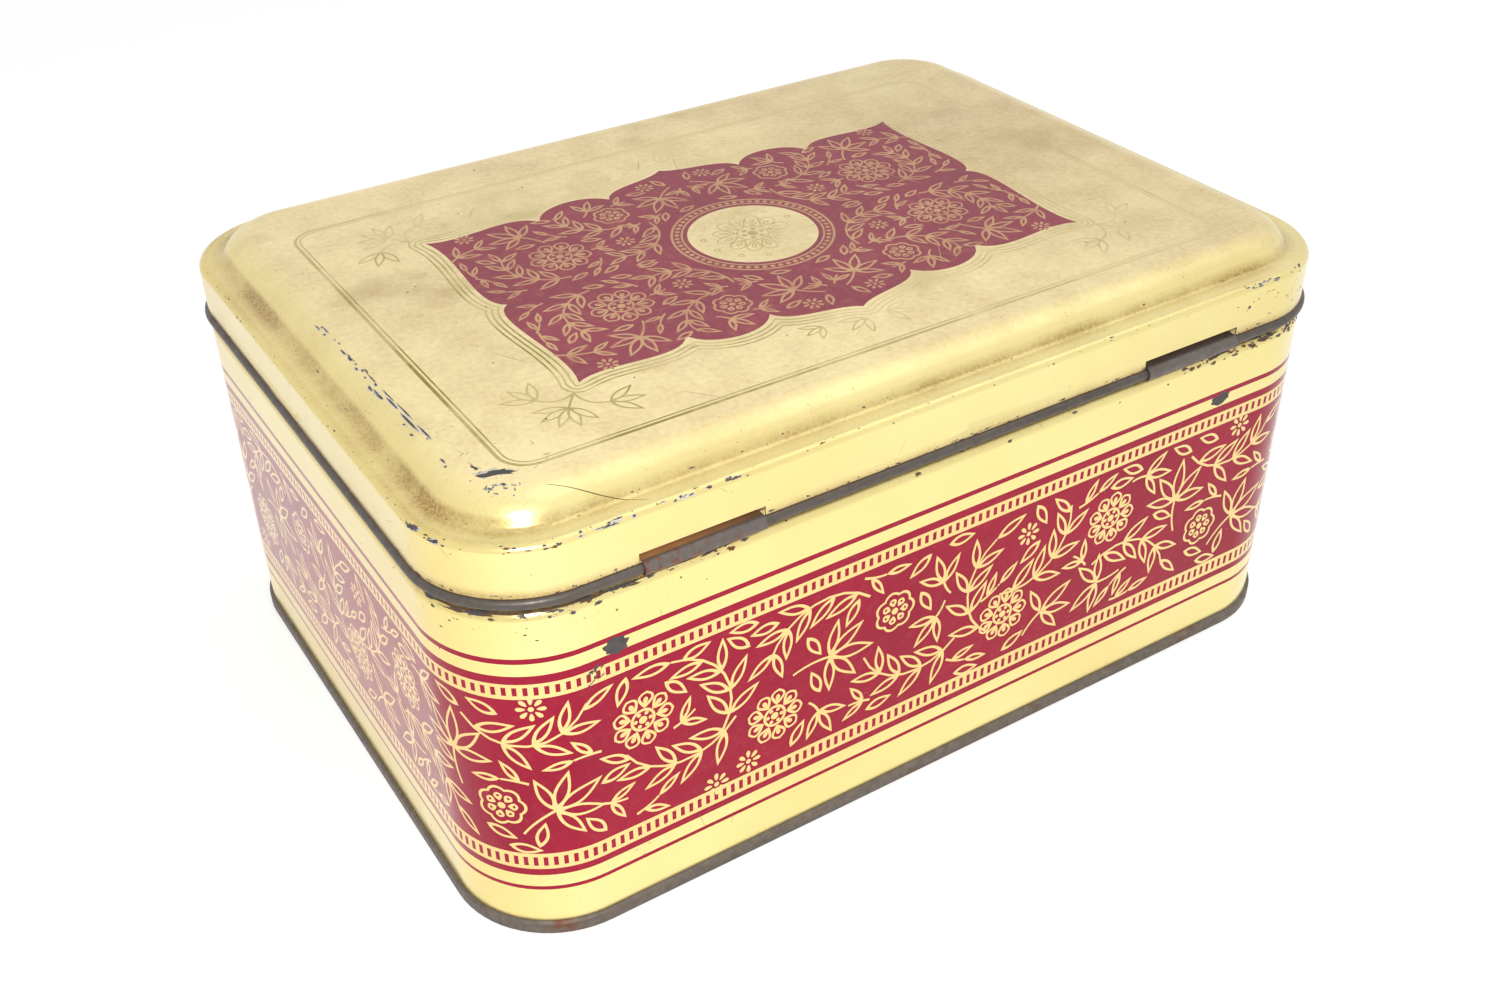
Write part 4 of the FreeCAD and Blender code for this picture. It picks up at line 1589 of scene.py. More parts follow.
@dataclass
class PrintedWall:
    """Wall with its print, shoulder, neck and hem."""

    plan: Plan
    palette: Palette
    foot: float = 0.27
    plate: float = 0.25
    shoulder_low: float = 79.8
    shoulder_radius: float = 2.5
    rim: float = 96.146
    hem: float = 3.0
    slit: Opening = (48.35, 74.65, 85.396, 85.996)
    thin_lines: Pairs = ((12.0, 13.0), (70.65, 71.85))
    bands: Pairs = ((16.2, 18.0), (65.75, 67.8))
    ladders: Pairs = ((18.4, 21.7), (62.8, 65.5))
    dashes: int = 90
    field_low: float = 22.2
    field_high: float = 62.3
    pen: float = 0.62
    side_seam: tuple[float, float] = (3.85, 78.8)
    seam_half: float = 3.0
    seam_leaf: float = 0.5
    groove_half: float = 0.25
    groove_sink: float = 0.1
    ladder_margin: float = 0.14
    dash_half: float = 0.23
    field_margin: float = 0.8
    flowers: int = 6
    flower_start: float = 0.45
    flower_rise: tuple[float, float] = (-7.5, 6.5)
    wall_wear: Wear = (0.12, 0.02, 0.0, 0.0)
    shoulder_turn: float = 24.0
    shoulder_foot_wear: Wear = (0.02, 0.15, 0.0, 0.14)
    # High on the shoulder the dirt value rises to 0.9 as painted shade in the gap under the curl.
    shoulder_top_wear_and_shade: Wear = (0.15, 0.3, 0.14, 0.9)
    neck_wear: Wear = (0.3, 0.1, 0.5, 0.1)

    def drawing(self) -> list[Shape]:
        """Draw one repeat of the print.

        Returns:
            Its shapes, the later ones on top.
        """
        length = self.plan.tile
        stripes = self.thin_lines + self.bands
        shapes = [box_shape(0.0, length, low, high, Finish.CRIMSON) for low, high in stripes]
        pitch = length / self.dashes
        for low, high in self.ladders:
            margin = self.ladder_margin * (high - low)
            shapes.append(box_shape(0.0, length, low - margin, high + margin, Finish.LINE))
            for number in range(self.dashes):
                middle = (number + 0.5) * pitch
                half = self.dash_half * pitch
                shapes.append(box_shape(middle - half, middle + half, low + margin, high - margin,
                                        Finish.CRIMSON))
        shapes.append(box_shape(0.0, length, self.field_low, self.field_high, Finish.CRIMSON))
        return shapes + self.vine(length)

    def vine(self, length: float) -> list[Shape]:
        """Draw the leaves and flowers of one repeat.

        Args:
            length: Length of the repeat.

        Returns:
            Shapes of the vine.
        """
        low, high = self.field_low + self.field_margin, self.field_high - self.field_margin
        middle = (low + high) / 2.0
        vine = Drawing(Finish.LINE, Finish.CRIMSON, self.pen,
                       lambda spots: (spots[:, 1] > low) & (spots[:, 1] < high), length)
        for number in range(self.flowers):
            along = (number + self.flower_start) * length / self.flowers
            centre = np.array([along, middle + self.flower_rise[number % 2]])
            if number % 3 == 2:
                vine.rosette(centre, radius=5.2)
            else:
                vine.daisy(centre, radius=6.9, count=9)
        vine.scatter(11, (0.0, low), (length, high), scale=11.4, stars=2.9)
        LOG.info("print: %d shapes in one repeat", len(vine.shapes))
        return vine.repeated()

    def chips(self) -> dict[int, list[Shape]]:
        """Draw the chips and scratches of the wall.

        Returns:
            Shapes by number of the repeat.
        """
        side, around = self.plan.hinge_side, self.plan.around
        anywhere = (0.0, around)
        upper = {"run": (79.6, -6.0, 2.0), "across": (0.05, 0.2, 5.0), "form": (1.5, 1.0)}
        wear = WearMap(self.plan, 5, self.foot)
        wear.add(Mark(side(81.0), 69.2, 2.5, 2.1, 1, rough=0.22))
        wear.add(Mark(side(-73.5), 69.8, 3.0, 1.4, 2, rough=0.22))
        wear.lay(
            Batch(9, 10, between(side(84.0), side(87.5)), (62.4, 3.4), (0.25, 0.6), (0.15, 0.3),
                  turn=(50.0,), rough=0.5),
            Batch(50, 40, (around - 55.0, -60.0), **upper, order=("unused", *Batch.order)),
            Batch(70, 90, anywhere, **upper),
            Batch(110, 240, anywhere, (5.0, 68.0), (0.07, 0.16, 3.0), form=(1.0, 1.5)),
            Batch(26, 400, anywhere, (6.0, 68.0), (0.8, 2.2), (0.045,), turn=(60.0, 60.0), rough=0.12,
                  order=TURN_FIRST),
        )
        return wear.shapes

    def shoulder_specks_and_shade(self, reach: float) -> dict[int, list[Shape]]:
        """Draw the dark specks on the shoulder, close together near the corner that shows most, with dark
        bands and blobs high on it that are painted shade and a painted dark reflection under the curl.

        Args:
            reach: Length of the shoulder's section.

        Returns:
            Shapes by number of the repeat.
        """
        side, corner = self.plan.hinge_side, self.plan.near_corner
        wear = WearMap(self.plan, 8)
        # Long dark bands under the curl near the corner: a painted dark reflection.
        for number, middle in enumerate((6.0, 17.0, 29.0, 40.0, 52.0)):
            run = 2.0 + 0.1 * (number % 3)
            wear.add(Mark(corner(12.0) + middle, run, 6.4, 0.26, 3100 + number, Finish.STAIN_AND_SHADE, rough=0.3))
        # Dark blobs high on the shoulder near the corner and at the far end of the hinge side: painted shade
        # under the curl.
        for number in range(46):
            along = draw(wear.random, corner(12.0), 66.0)
            if number % 3 == 2:
                along = draw(wear.random, *between(side(-100.0), side(-66.0)))
            run = draw(wear.random, 1.3, 1.1)
            across = draw(wear.random, 0.6, 2.6, 2.0)
            up = draw(wear.random, 0.1, 0.3)
            finish = Finish.STAIN_AND_SHADE if number % 2 else Finish.STEEL
            wear.add(Mark(along, run, across, up, 3000 + number, finish, rough=0.35))
        specks = {"run": (0.4, reach - 0.6, 0.7), "across": (0.07, 0.4, 4.0), "form": (1.8, 1.0),
                  "finishes": (Finish.STEEL, Finish.STEEL, Finish.STAIN_AND_SHADE)}
        wear.lay(
            Batch(70, 3200, between(side(-60.0), side(-106.0)), (0.3, 1.7), (0.12, 0.3, 2.0),
                  form=(2.2, 1.0), finishes=(Finish.STAIN_AND_SHADE, Finish.STAIN_AND_SHADE, Finish.STEEL), order=SIZE_FIRST),
            Batch(130, 800, (corner(15.0), 62.0), **specks, order=("unused", *SIZE_FIRST)),
            Batch(200, 930, (0.0, self.plan.around), **specks, order=SIZE_FIRST),
        )
        return wear.shapes

    def neck_rust(self, slits: Sequence[Opening]) -> dict[int, list[Shape]]:
        """Draw ragged rust round the slits of the neck.

        Args:
            slits: Slits as two distances round the box and two heights.

        Returns:
            Shapes by number of the repeat.
        """
        wear = WearMap(self.plan, 17)
        for start, end, _, _ in slits:
            middle = (start + end) / 2.0
            wear.add(Mark(middle, 3.3, 12.6, 1.9, 3, Finish.RUST, rough=0.25))
            wear.lay(Batch(40, 3300, (middle - 14.5, 29.0), (1.2, 5.0, 1.4), (0.4, 2.4, 2.0),
                           (0.2, 0.8, 2.0), (Finish.RUST,), rough=0.45))
        return wear.shapes

    def build(self) -> bpy.types.Object:
        """Build the wall and put it in place of its CAD node.

        Returns:
            The piece.
        """
        skin = Skin("printed_wall", self.plan)
        drawn = [shape.moved(0.0, -self.foot) for shape in self.drawing()]
        worn = self.chips()
        shapes = {tile: drawn + worn[tile] for tile in range(self.plan.tiles)}
        wall = Profile().line((0.0, self.foot), (0.0, self.shoulder_low), 1, self.wall_wear)
        low, high = self.side_seam
        groove = (self.plan.tile - self.groove_half, self.plan.tile + self.groove_half)
        skin.ring(wall, Finish.GOLD, shapes, [(*groove, low - self.foot, high - self.foot)])
        skin.strip((*groove, low, high), 0.0, -self.groove_sink, Finish.STAIN_AND_SHADE, True)
        neck_out = -self.shoulder_radius
        neck_in = neck_out - self.plate
        hem_in = neck_in - self.plate
        top = self.shoulder_low + self.shoulder_radius
        hub = (neck_out, self.shoulder_low)
        turn = self.shoulder_turn
        shoulder = Profile().arc(hub, self.shoulder_radius, 0.0, turn, 3, self.shoulder_foot_wear)
        # The upper arc of the shoulder is browned as painted shade under the curl.
        shoulder.arc(hub, self.shoulder_radius, turn, 90.0, 5, self.shoulder_top_wear_and_shade)
        skin.ring(shoulder, Finish.GOLD, self.shoulder_specks_and_shade(shoulder.stations[-1]))
        neck = Profile().line((neck_out, top), (neck_out, self.rim), 2, self.neck_wear)
        around = self.plan.around
        x0, x1, low, high = self.slit
        slits = [(around - x1, around - x0, low, high), (x0, x1, low, high)]
        skin.ring(neck, Finish.GOLD, self.neck_rust(slits),
                  [(a, b, c - top, d - top) for a, b, c, d in slits])
        skin.band((neck_out, self.rim), (hem_in, self.rim), Finish.GOLD)
        hem_low = self.rim - self.hem
        skin.band((hem_in, self.rim), (hem_in, hem_low), Finish.INSIDE)
        skin.band((hem_in, hem_low), (neck_in, hem_low), Finish.INSIDE)
        inner = Profile().line((neck_in, hem_low), (neck_in, top - self.plate))
        skin.ring(inner, Finish.INSIDE,
                  holes=[(a, b, hem_low - d, hem_low - c) for a, b, c, d in slits])
        for slit in slits:
            skin.edges(neck, inner, slit, Finish.STEEL)
        skin.band((neck_in, top - self.plate), (neck_out, top - self.plate), Finish.INSIDE)
        inside = Profile().arc(hub, self.shoulder_radius - self.plate, 90.0, 0.0, 6)
        inside.line((-self.plate, self.shoulder_low), (-self.plate, self.foot))
        low, high = (float(inside.stations[-1]) - (height - self.foot) for height in self.side_seam[::-1])
        leaf = (self.plan.tile - self.seam_half, self.plan.tile + self.seam_half)
        skin.ring(inside, Finish.INSIDE, holes=[(*leaf, low, high)])
        skin.strip((*leaf, *self.side_seam), -self.plate, -self.plate - self.seam_leaf, Finish.INSIDE, False)
        skin.band((-self.plate, self.foot), (0.0, self.foot), Finish.STEEL)
        piece = skin.make(self.palette)
        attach(piece, "box")
        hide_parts("body_wall")
        return piece


@dataclass
class DrawnLid:
    """Lid with its curl, skirt, ledge, slope and printed panel."""

    plan: Plan
    palette: Palette
    plate: float = 0.25
    back: float = -0.3
    curl_low: float = 83.2
    curl_radius: float = 1.15
    curl_reach: float = 60.0
    crest: float = 96.496
    crest_radius: float = 1.5
    ledge: float = 4.2
    valley_radius: float = 1.5
    slope: float = 50.0
    top: float = 101.596
    panel_radius: float = 8.0
    slot: tuple[float, float] = (48.0, 75.0)
    slot_rise: float = 3.3
    pen: float = 0.55
    frame_lines: Pairs = ((0.0, 0.75), (1.25, 0.4))
    frame_half: tuple[float, float] = (88.4, 58.6)
    frame_radius: float = 6.5
    print_shift: tuple[float, float] = (2.5, 5.0)
    outlines: tuple[float, ...] = (3.9, 2.7, 1.5)
    outline_width: float = 0.42
    lobes: tuple[Pairs, ...] = (
        ((61.0, 0.0), (67.5, 3.5), (59.5, 26.0), (63.5, 37.0)),
        ((63.5, 37.0), (56.0, 32.5), (41.0, 41.0), (37.0, 32.5)),
        ((37.0, 32.5), (35.5, 39.5), (22.5, 41.5), (18.0, 34.5)),
        ((18.0, 34.5), (16.0, 40.5), (5.0, 38.5), (0.0, 42.5)),
    )
    quarter: Pairs = ((0.5, 0.5), (64.0, 43.0))
    field_margin: float = 1.2
    medallion_room: float = 20.4
    medallion_rings: tuple[tuple[float, Finish], ...] = (
        (18.6, Finish.TAN), (18.0, Finish.CLARET), (16.3, Finish.TAN), (15.8, Finish.CLARET),
        (14.8, Finish.GOLD),
    )
    ring_points: int = 120
    beads: int = 60
    bead_points: int = 10
    bead_ring: float = 17.15
    bead_radius: float = 0.6
    faint_pen: float = 0.34
    faint_petals: int = 12
    faint_radius: float = 9.4
    faint_dots: tuple[float, float, float] = (11.6, 0.75, 0.4)
    sprig_pen: float = 0.44
    sprig_leaf: float = 7.4
    sprig_start: tuple[float, float] = (66.2, 40.0)
    sprig_fans: tuple[tuple, ...] = (
        ((73.4, 38.6), (70.4, 42.4), -1.1, 3, 1.4),
        ((62.0, 46.6), (66.4, 45.4), 2.9, 3, 1.4),
        ((69.4, 44.2), (67.8, 42.0), 0.85, 5, 2.3),
    )
    tuft_pen: float = 0.38
    tufts: tuple[tuple, ...] = (
        ((2.6, 46.8), 0.5, 3, 1.5, 6.4),
        ((12.0, 45.0), 0.3, 3, 1.4, 5.4),
    )
    crease_height: float = 0.9
    # Height of a thin dark brown strip along the crease right above the curl.
    crease_dark_band: float = 0.2
    scratch_reach: float = 16.0
    scratch_wave: tuple[float, float] = (0.12, 9.0)
    scratch_width: tuple[float, float] = (0.1, 0.1)
    # The crease is brownest right above the curl.
    crease_wear: Wear = (0.45, 0.3, 1.0, 0.45)
    slot_wear: Wear = (0.3, 0.2, 0.45, 0.05)
    skirt_wear: Wear = (0.14, 0.12, 0.06, 0.0)
    # At the top of the crest the dirt value is a painted dark reflection.
    crest_wear_and_reflection: Wear = (0.12, 0.2, 0.0, 0.3)
    ledge_wear: Wear = (0.2, 0.3, 0.1, 0.45)
    valley_wear: Wear = (0.3, 0.3, 0.45, 0.95)
    slope_wear: Wear = (0.3, 0.25, 0.95, 0.12)
    brow_wear: Wear = (0.25, 0.95, 0.12, 0.0)
    panel_age: tuple[float, float] = (1.0, 0.0)

    @property
    def centre(self) -> float:
        """Height of the curl's centre, where the hinge axis is."""
        return self.curl_low + self.curl_radius * math.sin(math.radians(self.curl_reach))

    @property
    def valley(self) -> tuple[float, float]:
        """Offset and height of the centre of the valley's curve."""
        return self.back + self.plate - self.ledge, self.crest + self.valley_radius

    @property
    def brow(self) -> tuple[float, float]:
        """Offset and height of the centre of the panel's curve.

        Returns:
            The two values.
        """
        angle = math.radians(self.slope)
        height = self.top - self.panel_radius
        run = self.panel_radius + self.valley_radius + (height - self.valley[1]) * math.cos(angle)
        return self.valley[0] - run / math.sin(angle), height

    def outside(self) -> Profile:
        """Section of the outer face from the curl up to the panel.

        Returns:
            The profile with its marks.
        """
        face = self.back + self.plate
        skirt_low = self.centre + math.sqrt(self.curl_radius ** 2 - self.plate ** 2)
        crease = (face, skirt_low + self.crease_height)
        slot = (face, self.centre + self.slot_rise)
        shoulder = (face - self.crest_radius, self.crest - self.crest_radius)
        angle = 90.0 - self.slope
        tilt = heading(math.radians(angle))
        foot = tuple(np.array(self.valley) - self.valley_radius * tilt)
        head = tuple(np.array(self.brow) + self.panel_radius * tilt)
        line = Profile()
        line.line((face, skirt_low), crease, 2, self.crease_wear).mark("crease")
        line.line(crease, slot, 1, self.slot_wear).mark("slot")
        line.line(slot, (face, shoulder[1]), 4, self.skirt_wear).mark("skirt")
        # The crest's arc gets a painted dark reflection near its top.
        line.arc(shoulder, self.crest_radius, 0.0, 90.0, 7, self.crest_wear_and_reflection).mark("crest")
        line.line((shoulder[0], self.crest), (self.valley[0], self.crest), 3, self.ledge_wear).mark("ledge")
        line.arc(self.valley, self.valley_radius, 270.0, 270.0 - self.slope, 5, self.valley_wear)
        line.mark("valley")
        line.line(foot, head, 3, self.slope_wear).mark("slope")
        line.arc(self.brow, self.panel_radius, angle, 90.0, 9, self.brow_wear).mark("brow")
        return line

    def inside(self) -> list[Profile]:
        """Sections of the inner face from the panel down to the curl.

        Returns:
            Smooth stretches in order.
        """
        tilt = heading(math.radians(90.0 - self.slope))
        foot = tuple(np.array(self.valley) - (self.valley_radius + self.plate) * tilt)
        first = Profile().arc(self.brow, self.panel_radius - self.plate, 90.0, 90.0 - self.slope, 7)
        first.line((first.rows[-1][1], first.rows[-1][2]), foot)
        first.arc(self.valley, self.valley_radius + self.plate, 270.0 - self.slope, 270.0, 4)
        first.line((self.valley[0], self.crest - self.plate),
                   (self.back + self.plate - self.crest_radius, self.crest - self.plate))
        first.arc((self.back + self.plate - self.crest_radius, self.crest - self.crest_radius),
                  self.crest_radius - self.plate, 90.0, 0.0, 6)
        skirt = Profile().line((self.back, self.crest - self.crest_radius), (self.back, self.curl_low))
        return [first, skirt]

    def cartouche(self, grow: float = 0.0) -> Points:
        """Outline of the lobed field on the panel.

        Args:
            grow: Distance by which it is widened.

        Returns:
            Points of the outline.
        """
        steps = np.linspace(0.0, 1.0, 16)[:-1]
        end = np.array(self.lobes[-1][-1:])
        quarter = np.concatenate([*(curve(lobe, steps) for lobe in self.lobes), end])
        mirror = quarter[::-1] * np.array([-1.0, 1.0])
        half = np.concatenate([quarter, mirror[1:]])
        ring = np.concatenate([half, (half * np.array([1.0, -1.0]))[::-1][1:-1]])
        if grow <= 0.0:
            return ring
        rays = directions(np.arctan2(ring[:, 1], ring[:, 0]))
        dense = np.concatenate([ring, (ring + np.roll(ring, -1, axis=0)) / 2.0])
        along = rays @ dense.T
        away = np.abs(rays[:, :1] * dense[None, :, 1] - rays[:, 1:] * dense[None, :, 0])
        reach = np.where(away < grow, along + np.sqrt(np.maximum(grow ** 2 - away ** 2, 0.0)), 0.0)
        return rays * reach.max(axis=1)[:, None]

    def edge(self) -> Points:
        """Outline of the flat panel.

        Returns:
            Points of the outline.
        """
        starts = np.arange(self.plan.tiles) * self.plan.tile
        along = np.concatenate([self.plan.cuts()[:-1] + start for start in starts])
        spots, _ = self.plan.place(along, np.full(len(along), self.brow[0]))
        return spots

    def framed(self, inset: float) -> Points:
        """Outline of the printed frame, drawn in by a distance.

        Args:
            inset: Distance from the outermost frame line.

        Returns:
            Points of the outline.
        """
        radius = self.frame_radius - inset
        x, y = (half - self.frame_radius for half in self.frame_half)
        ring = []
        for start, corner in ((0.0, (x, y)), (90.0, (-x, y)), (180.0, (-x, -y)), (270.0, (x, -y))):
            angles = np.radians(np.linspace(start, start + 90.0, 9))
            ring.append(np.array(corner) + radius * directions(angles))
        return np.concatenate(ring)

    def panel_drawing(self) -> list[Shape]:
        """Draw the print of the panel, a little off the middle as it was printed.

        Returns:
            Its shapes, the later ones on top.
        """
        shapes: list[Shape] = []
        for inset, width in self.frame_lines:
            shapes.append(Shape(self.framed(inset), Finish.OLIVE))
            shapes.append(Shape(self.framed(inset + width), Finish.GOLD))
        shapes += self.corner_sprigs()
        for grow in self.outlines:
            shapes.append(Shape(self.cartouche(grow), Finish.OLIVE))
            shapes.append(Shape(self.cartouche(grow - self.outline_width), Finish.GOLD))
        shapes.append(Shape(self.cartouche(), Finish.CLARET))
        shapes += self.field_drawing() + self.medallion()
        return [shape.moved(*self.print_shift) for shape in shapes]

    def corner_sprigs(self) -> list[Shape]:
        """Draw the faint sprigs beyond the tips of the field and the tufts along its long sides.

        Returns:
            Their shapes.
        """
        sprig = Drawing(Finish.OLIVE, Finish.GOLD, self.sprig_pen)
        for root, knee, way, leaves, spread in self.sprig_fans:
            sprig.stroke(curve((self.sprig_start, knee, root), OUTLINE_STEPS))
            sprig.spray(np.array(root), way, leaves, spread, self.sprig_leaf)
        tuft = Drawing(Finish.OLIVE, Finish.GOLD, self.tuft_pen)
        for root, way, leaves, spread, size in self.tufts:
            tuft.spray(np.array(root), way, leaves, spread, size)
        return four_times(sprig.shapes + tuft.shapes)

    def field_drawing(self) -> list[Shape]:
        """Draw the leaves and flowers inside the lobed field, a quarter and its mirror images.

        Returns:
            Their shapes.
        """
        ring = self.cartouche()
        bearing = np.arctan2(ring[:, 1], ring[:, 0])
        reach = np.linalg.norm(ring, axis=1)
        low = self.quarter[0]

        def inside(spots: Points) -> np.ndarray:
            """Tell which points of the quarter are in the field and clear of the medallion.

            Args:
                spots: Points to test.

            Returns:
                True for each point that is.
            """
            edge = np.interp(np.arctan2(spots[:, 1], spots[:, 0]), bearing, reach, period=2.0 * math.pi)
            far = np.linalg.norm(spots, axis=1)
            clear = (far < edge - self.field_margin) & (far > self.medallion_room)
            return np.all(spots > np.array(low), axis=1) & clear

        lines = Drawing(Finish.TAN, Finish.CLARET, self.pen, inside)
        lines.daisy(np.array([41.5, 14.0]), radius=7.2, count=9)
        lines.rosette(np.array([22.0, 26.4]), radius=4.4)
        lines.scatter(23, *self.quarter, scale=8.4, stars=2.3)
        return four_times(lines.shapes)

    def medallion(self) -> list[Shape]:
        """Draw the round middle of the panel.

        Returns:
            Its shapes.
        """
        round_line = circle(self.ring_points)
        shapes = [Shape(round_line * radius, finish) for radius, finish in self.medallion_rings]
        for number in range(self.beads):
            spot = self.bead_ring * heading(2.0 * math.pi * number / self.beads)
            shapes.append(Shape(spot + circle(self.bead_points) * self.bead_radius, Finish.TAN))
        faint = Drawing(Finish.OLIVE, Finish.GOLD, self.faint_pen)
        faint.daisy(np.zeros(2), self.faint_radius, self.faint_petals)
        far, outer, inner = self.faint_dots
        for number in range(self.faint_petals):
            way = heading(2.0 * math.pi * (number + 0.5) / self.faint_petals)
            faint.ring(far * way, outer, inner)
        return shapes + faint.shapes

    def border_wear(self, marks: dict[str, float]) -> dict[int, list[Shape]]:
        """Draw the chips and scratches of the lid's border.

        Args:
            marks: Distances along the section by name.

        Returns:
            Shapes by number of the repeat.
        """
        side, right, corner = self.plan.hinge_side, self.plan.right_side, self.plan.near_corner
        anywhere = (0.0, self.plan.around)
        slot, top = marks["slot"], marks["brow"]
        crest = (marks["skirt"] + marks["crest"]) / 2.0
        brow = (marks["slope"] + top) / 2.0
        worn = (Finish.STEEL, Finish.STEEL, Finish.STEEL, Finish.STAIN_AND_SHADE)
        wear = WearMap(self.plan, 31)
        # A thin dark brown strip along the whole crease above the curl.
        for shapes in wear.shapes.values():
            shapes.append(box_shape(0.0, self.plan.tile, 0.0, self.crease_dark_band, Finish.STAIN_AND_SHADE))
        wear.add(Mark(corner(10.0), crest - 0.2, 1.7, 0.5, 298, turn=8.0, bright=0.15))
        wear.add(Mark(corner(25.0), crest - 0.6, 1.1, 0.34, 301, turn=8.0, bright=0.15))
        row = {"turn": (2.0,), "bright": (0.18,), "rough": 0.3, "seed_step": 4, "along_step": -4.2,
               "run_step": -0.12, "order": WIDTH_FIRST}
        wear.lay(
            Batch(14, 300, between(corner(4.0), corner(84.0)), (crest - 0.9, 1.4), (0.2, 0.7, 2.0),
                  (0.1, 0.16), worn),
            Batch(20, 330, between(side(88.0), side(52.0)), (crest - 0.5, 0.9), (0.3, 1.4, 3.0),
                  (0.08, 0.2), worn, bright=(0.0, 0.22), rough=0.45),
            Batch(16, 360, between(corner(20.0), corner(70.0)), (brow, 2.8), (0.25, 1.2, 3.0),
                  (0.12, 0.3, 2.0), worn, bright=(0.12,), rough=0.45),
            Batch(20, 380, between(right(57.0), right(-13.0)), (top - 1.2, -2.0), (0.3, 2.2, 3.0),
                  (0.08, 0.2), worn, bright=(0.14,), rough=0.45),
            Batch(5, 404, (right(41.0), 1.5), (top - 0.8, -1.2), (1.8, 2.2), (0.14, 0.18), worn, **row),
            Batch(5, 424, (right(20.0), 1.5), (top - 1.4, -1.2), (0.4, 1.0), (0.14, 0.18), worn, **row),
            # Dark brown marks along the crease of the +X side.
            Batch(40, 1403, between(right(-60.0), right(60.0)), (0.0, 0.3), (2.0, 3.5), (0.16, 0.3), worn,
                  seed_step=4),
            Batch(16, 402, between(side(-95.0), side(-77.0)), (crest - 0.5, 1.0), (0.2, 0.9, 2.0),
                  (0.08, 0.16), worn, bright=(0.1,), rough=0.45),
            Batch(22, 460, between(side(-102.0), side(-70.0)), between(slot, crest), (0.12, 0.5, 2.0),
                  (0.1, 0.3, 2.0), worn),
            Batch(220, 420, anywhere, (-0.8, 1.6), (0.1, 0.6, 4.0), (0.07, 0.12), worn,
                  zones=(marks["valley"], crest, crest)),
            Batch(240, 700, anywhere, (0.0, marks["crease"], 0.7), (0.15, 0.8, 3.0), (0.08, 0.16), worn),
            Batch(160, 1000, anywhere, (0.0, top), (0.07, 0.15, 3.0), (0.06, 0.08), worn),
            Batch(34, 1200, anywhere, (slot, 8.0), (0.6, 1.8), (0.035,), worn, turn=(20.0, 140.0),
                  rough=0.1),
        )
        tile, start = divmod(side(87.0), self.plan.tile)
        wear.shapes[int(tile)].append(self.scratch(start, top - 2.4, marks["crest"] + 0.8))
        return wear.shapes

    def scratch(self, start: float, high: float, low: float) -> Shape:
        """Draw the long scratch down the slope of the hinge side.

        Args:
            start: Distance along the repeat where it starts.
            high: Distance along the section of its upper end.
            low: Distance along the section of its lower end.

        Returns:
            Its shape.
        """
        steps = np.linspace(0.0, 1.0, 24)
        swing, turns = self.scratch_wave
        least, more = self.scratch_width
        run = high + (low - high) * steps + swing * np.sin(turns * steps)
        line = np.stack([start + self.scratch_reach * steps, run], axis=1)
        return Shape(ribbon(line, least + more * np.sin(math.pi * steps)), Finish.STAIN_AND_SHADE)

    def panel_wear(self) -> list[Shape]:
        """Draw the chips and scratches of the panel.

        Returns:
            Their shapes.
        """
        marks = [Mark(93.2, 61.4, 3.6, 1.3, 700, Finish.TIN, -20.0),
                 Mark(92.8, 61.8, 3.2, 0.9, 701, turn=-20.0),
                 Mark(95.4, 58.0, 0.4, 1.2, 702, turn=10.0)]
        batches = (
            Batch(120, 710, (-95.0, 190.0), (-65.0, 130.0), (0.07, 0.16, 3.0), form=(1.4, 1.0),
                  finishes=(Finish.STAIN_AND_SHADE, Finish.STEEL)),
            Batch(40, 850, (-85.0, 170.0), (-60.0, 120.0), (1.0, 4.0), (0.045,), turn=(0.0, 180.0),
                  rough=0.1, finishes=(Finish.OLIVE, Finish.STAIN_AND_SHADE, Finish.OLIVE), order=TURN_FIRST),
            Batch(30, 900, (95.5, -16.0, 2.0), (64.0, -22.0, 2.0), (0.15, 0.8, 2.0), (0.06,),
                  turn=(0.0, 180.0), rough=0.3),
        )
        random = np.random.default_rng(37)
        for batch in batches:
            marks += batch.marks(random)
        return [shape for mark in marks for shape in mark.shapes(mark.along, mark.run)]

    def build(self) -> bpy.types.Object:
        """Build the lid and put it in place of its CAD node.

        Returns:
            The piece.
        """
        skin = Skin("drawn_lid", self.plan)
        around = self.plan.around
        outer = self.outside()
        lip = self.back + self.curl_radius * math.cos(math.radians(self.curl_reach))
        skin.band((self.back, self.curl_low), (lip, self.curl_low), Finish.CURL)
        rise = math.degrees(math.acos(self.plate / self.curl_radius))
        curl = Profile().arc((self.back, self.centre), self.curl_radius, -self.curl_reach, rise, 12)
        skin.ring(curl, Finish.CURL)
        x0, x1 = self.slot
        slot_top = self.centre + self.slot_rise
        slots = [(around - x1, around - x0), (x0, x1)]
        skin.ring(outer, Finish.GOLD, self.border_wear(outer.marks),
                  [(a, b, 0.0, outer.marks["slot"]) for a, b in slots])
        inner, skirt = self.inside()
        skin.ring(inner, Finish.INSIDE)
        start = self.crest - self.crest_radius
        bottom = outer.rows[0][2]
        skin.ring(skirt, Finish.INSIDE,
                  holes=[(a, b, start - slot_top, start - bottom) for a, b in slots])
        for a, b in slots:
            skin.edges(outer, skirt, (a, b, bottom, slot_top), Finish.STEEL)
        drawn = self.panel_drawing() + self.panel_wear()
        skin.level(self.edge(), self.top, True, Finish.GOLD, drawn, self.panel_age)
        skin.level(self.edge(), self.top - self.plate, False, Finish.INSIDE)
        piece = skin.make(self.palette)
        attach(piece, "lid")
        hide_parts("lid")
        return piece


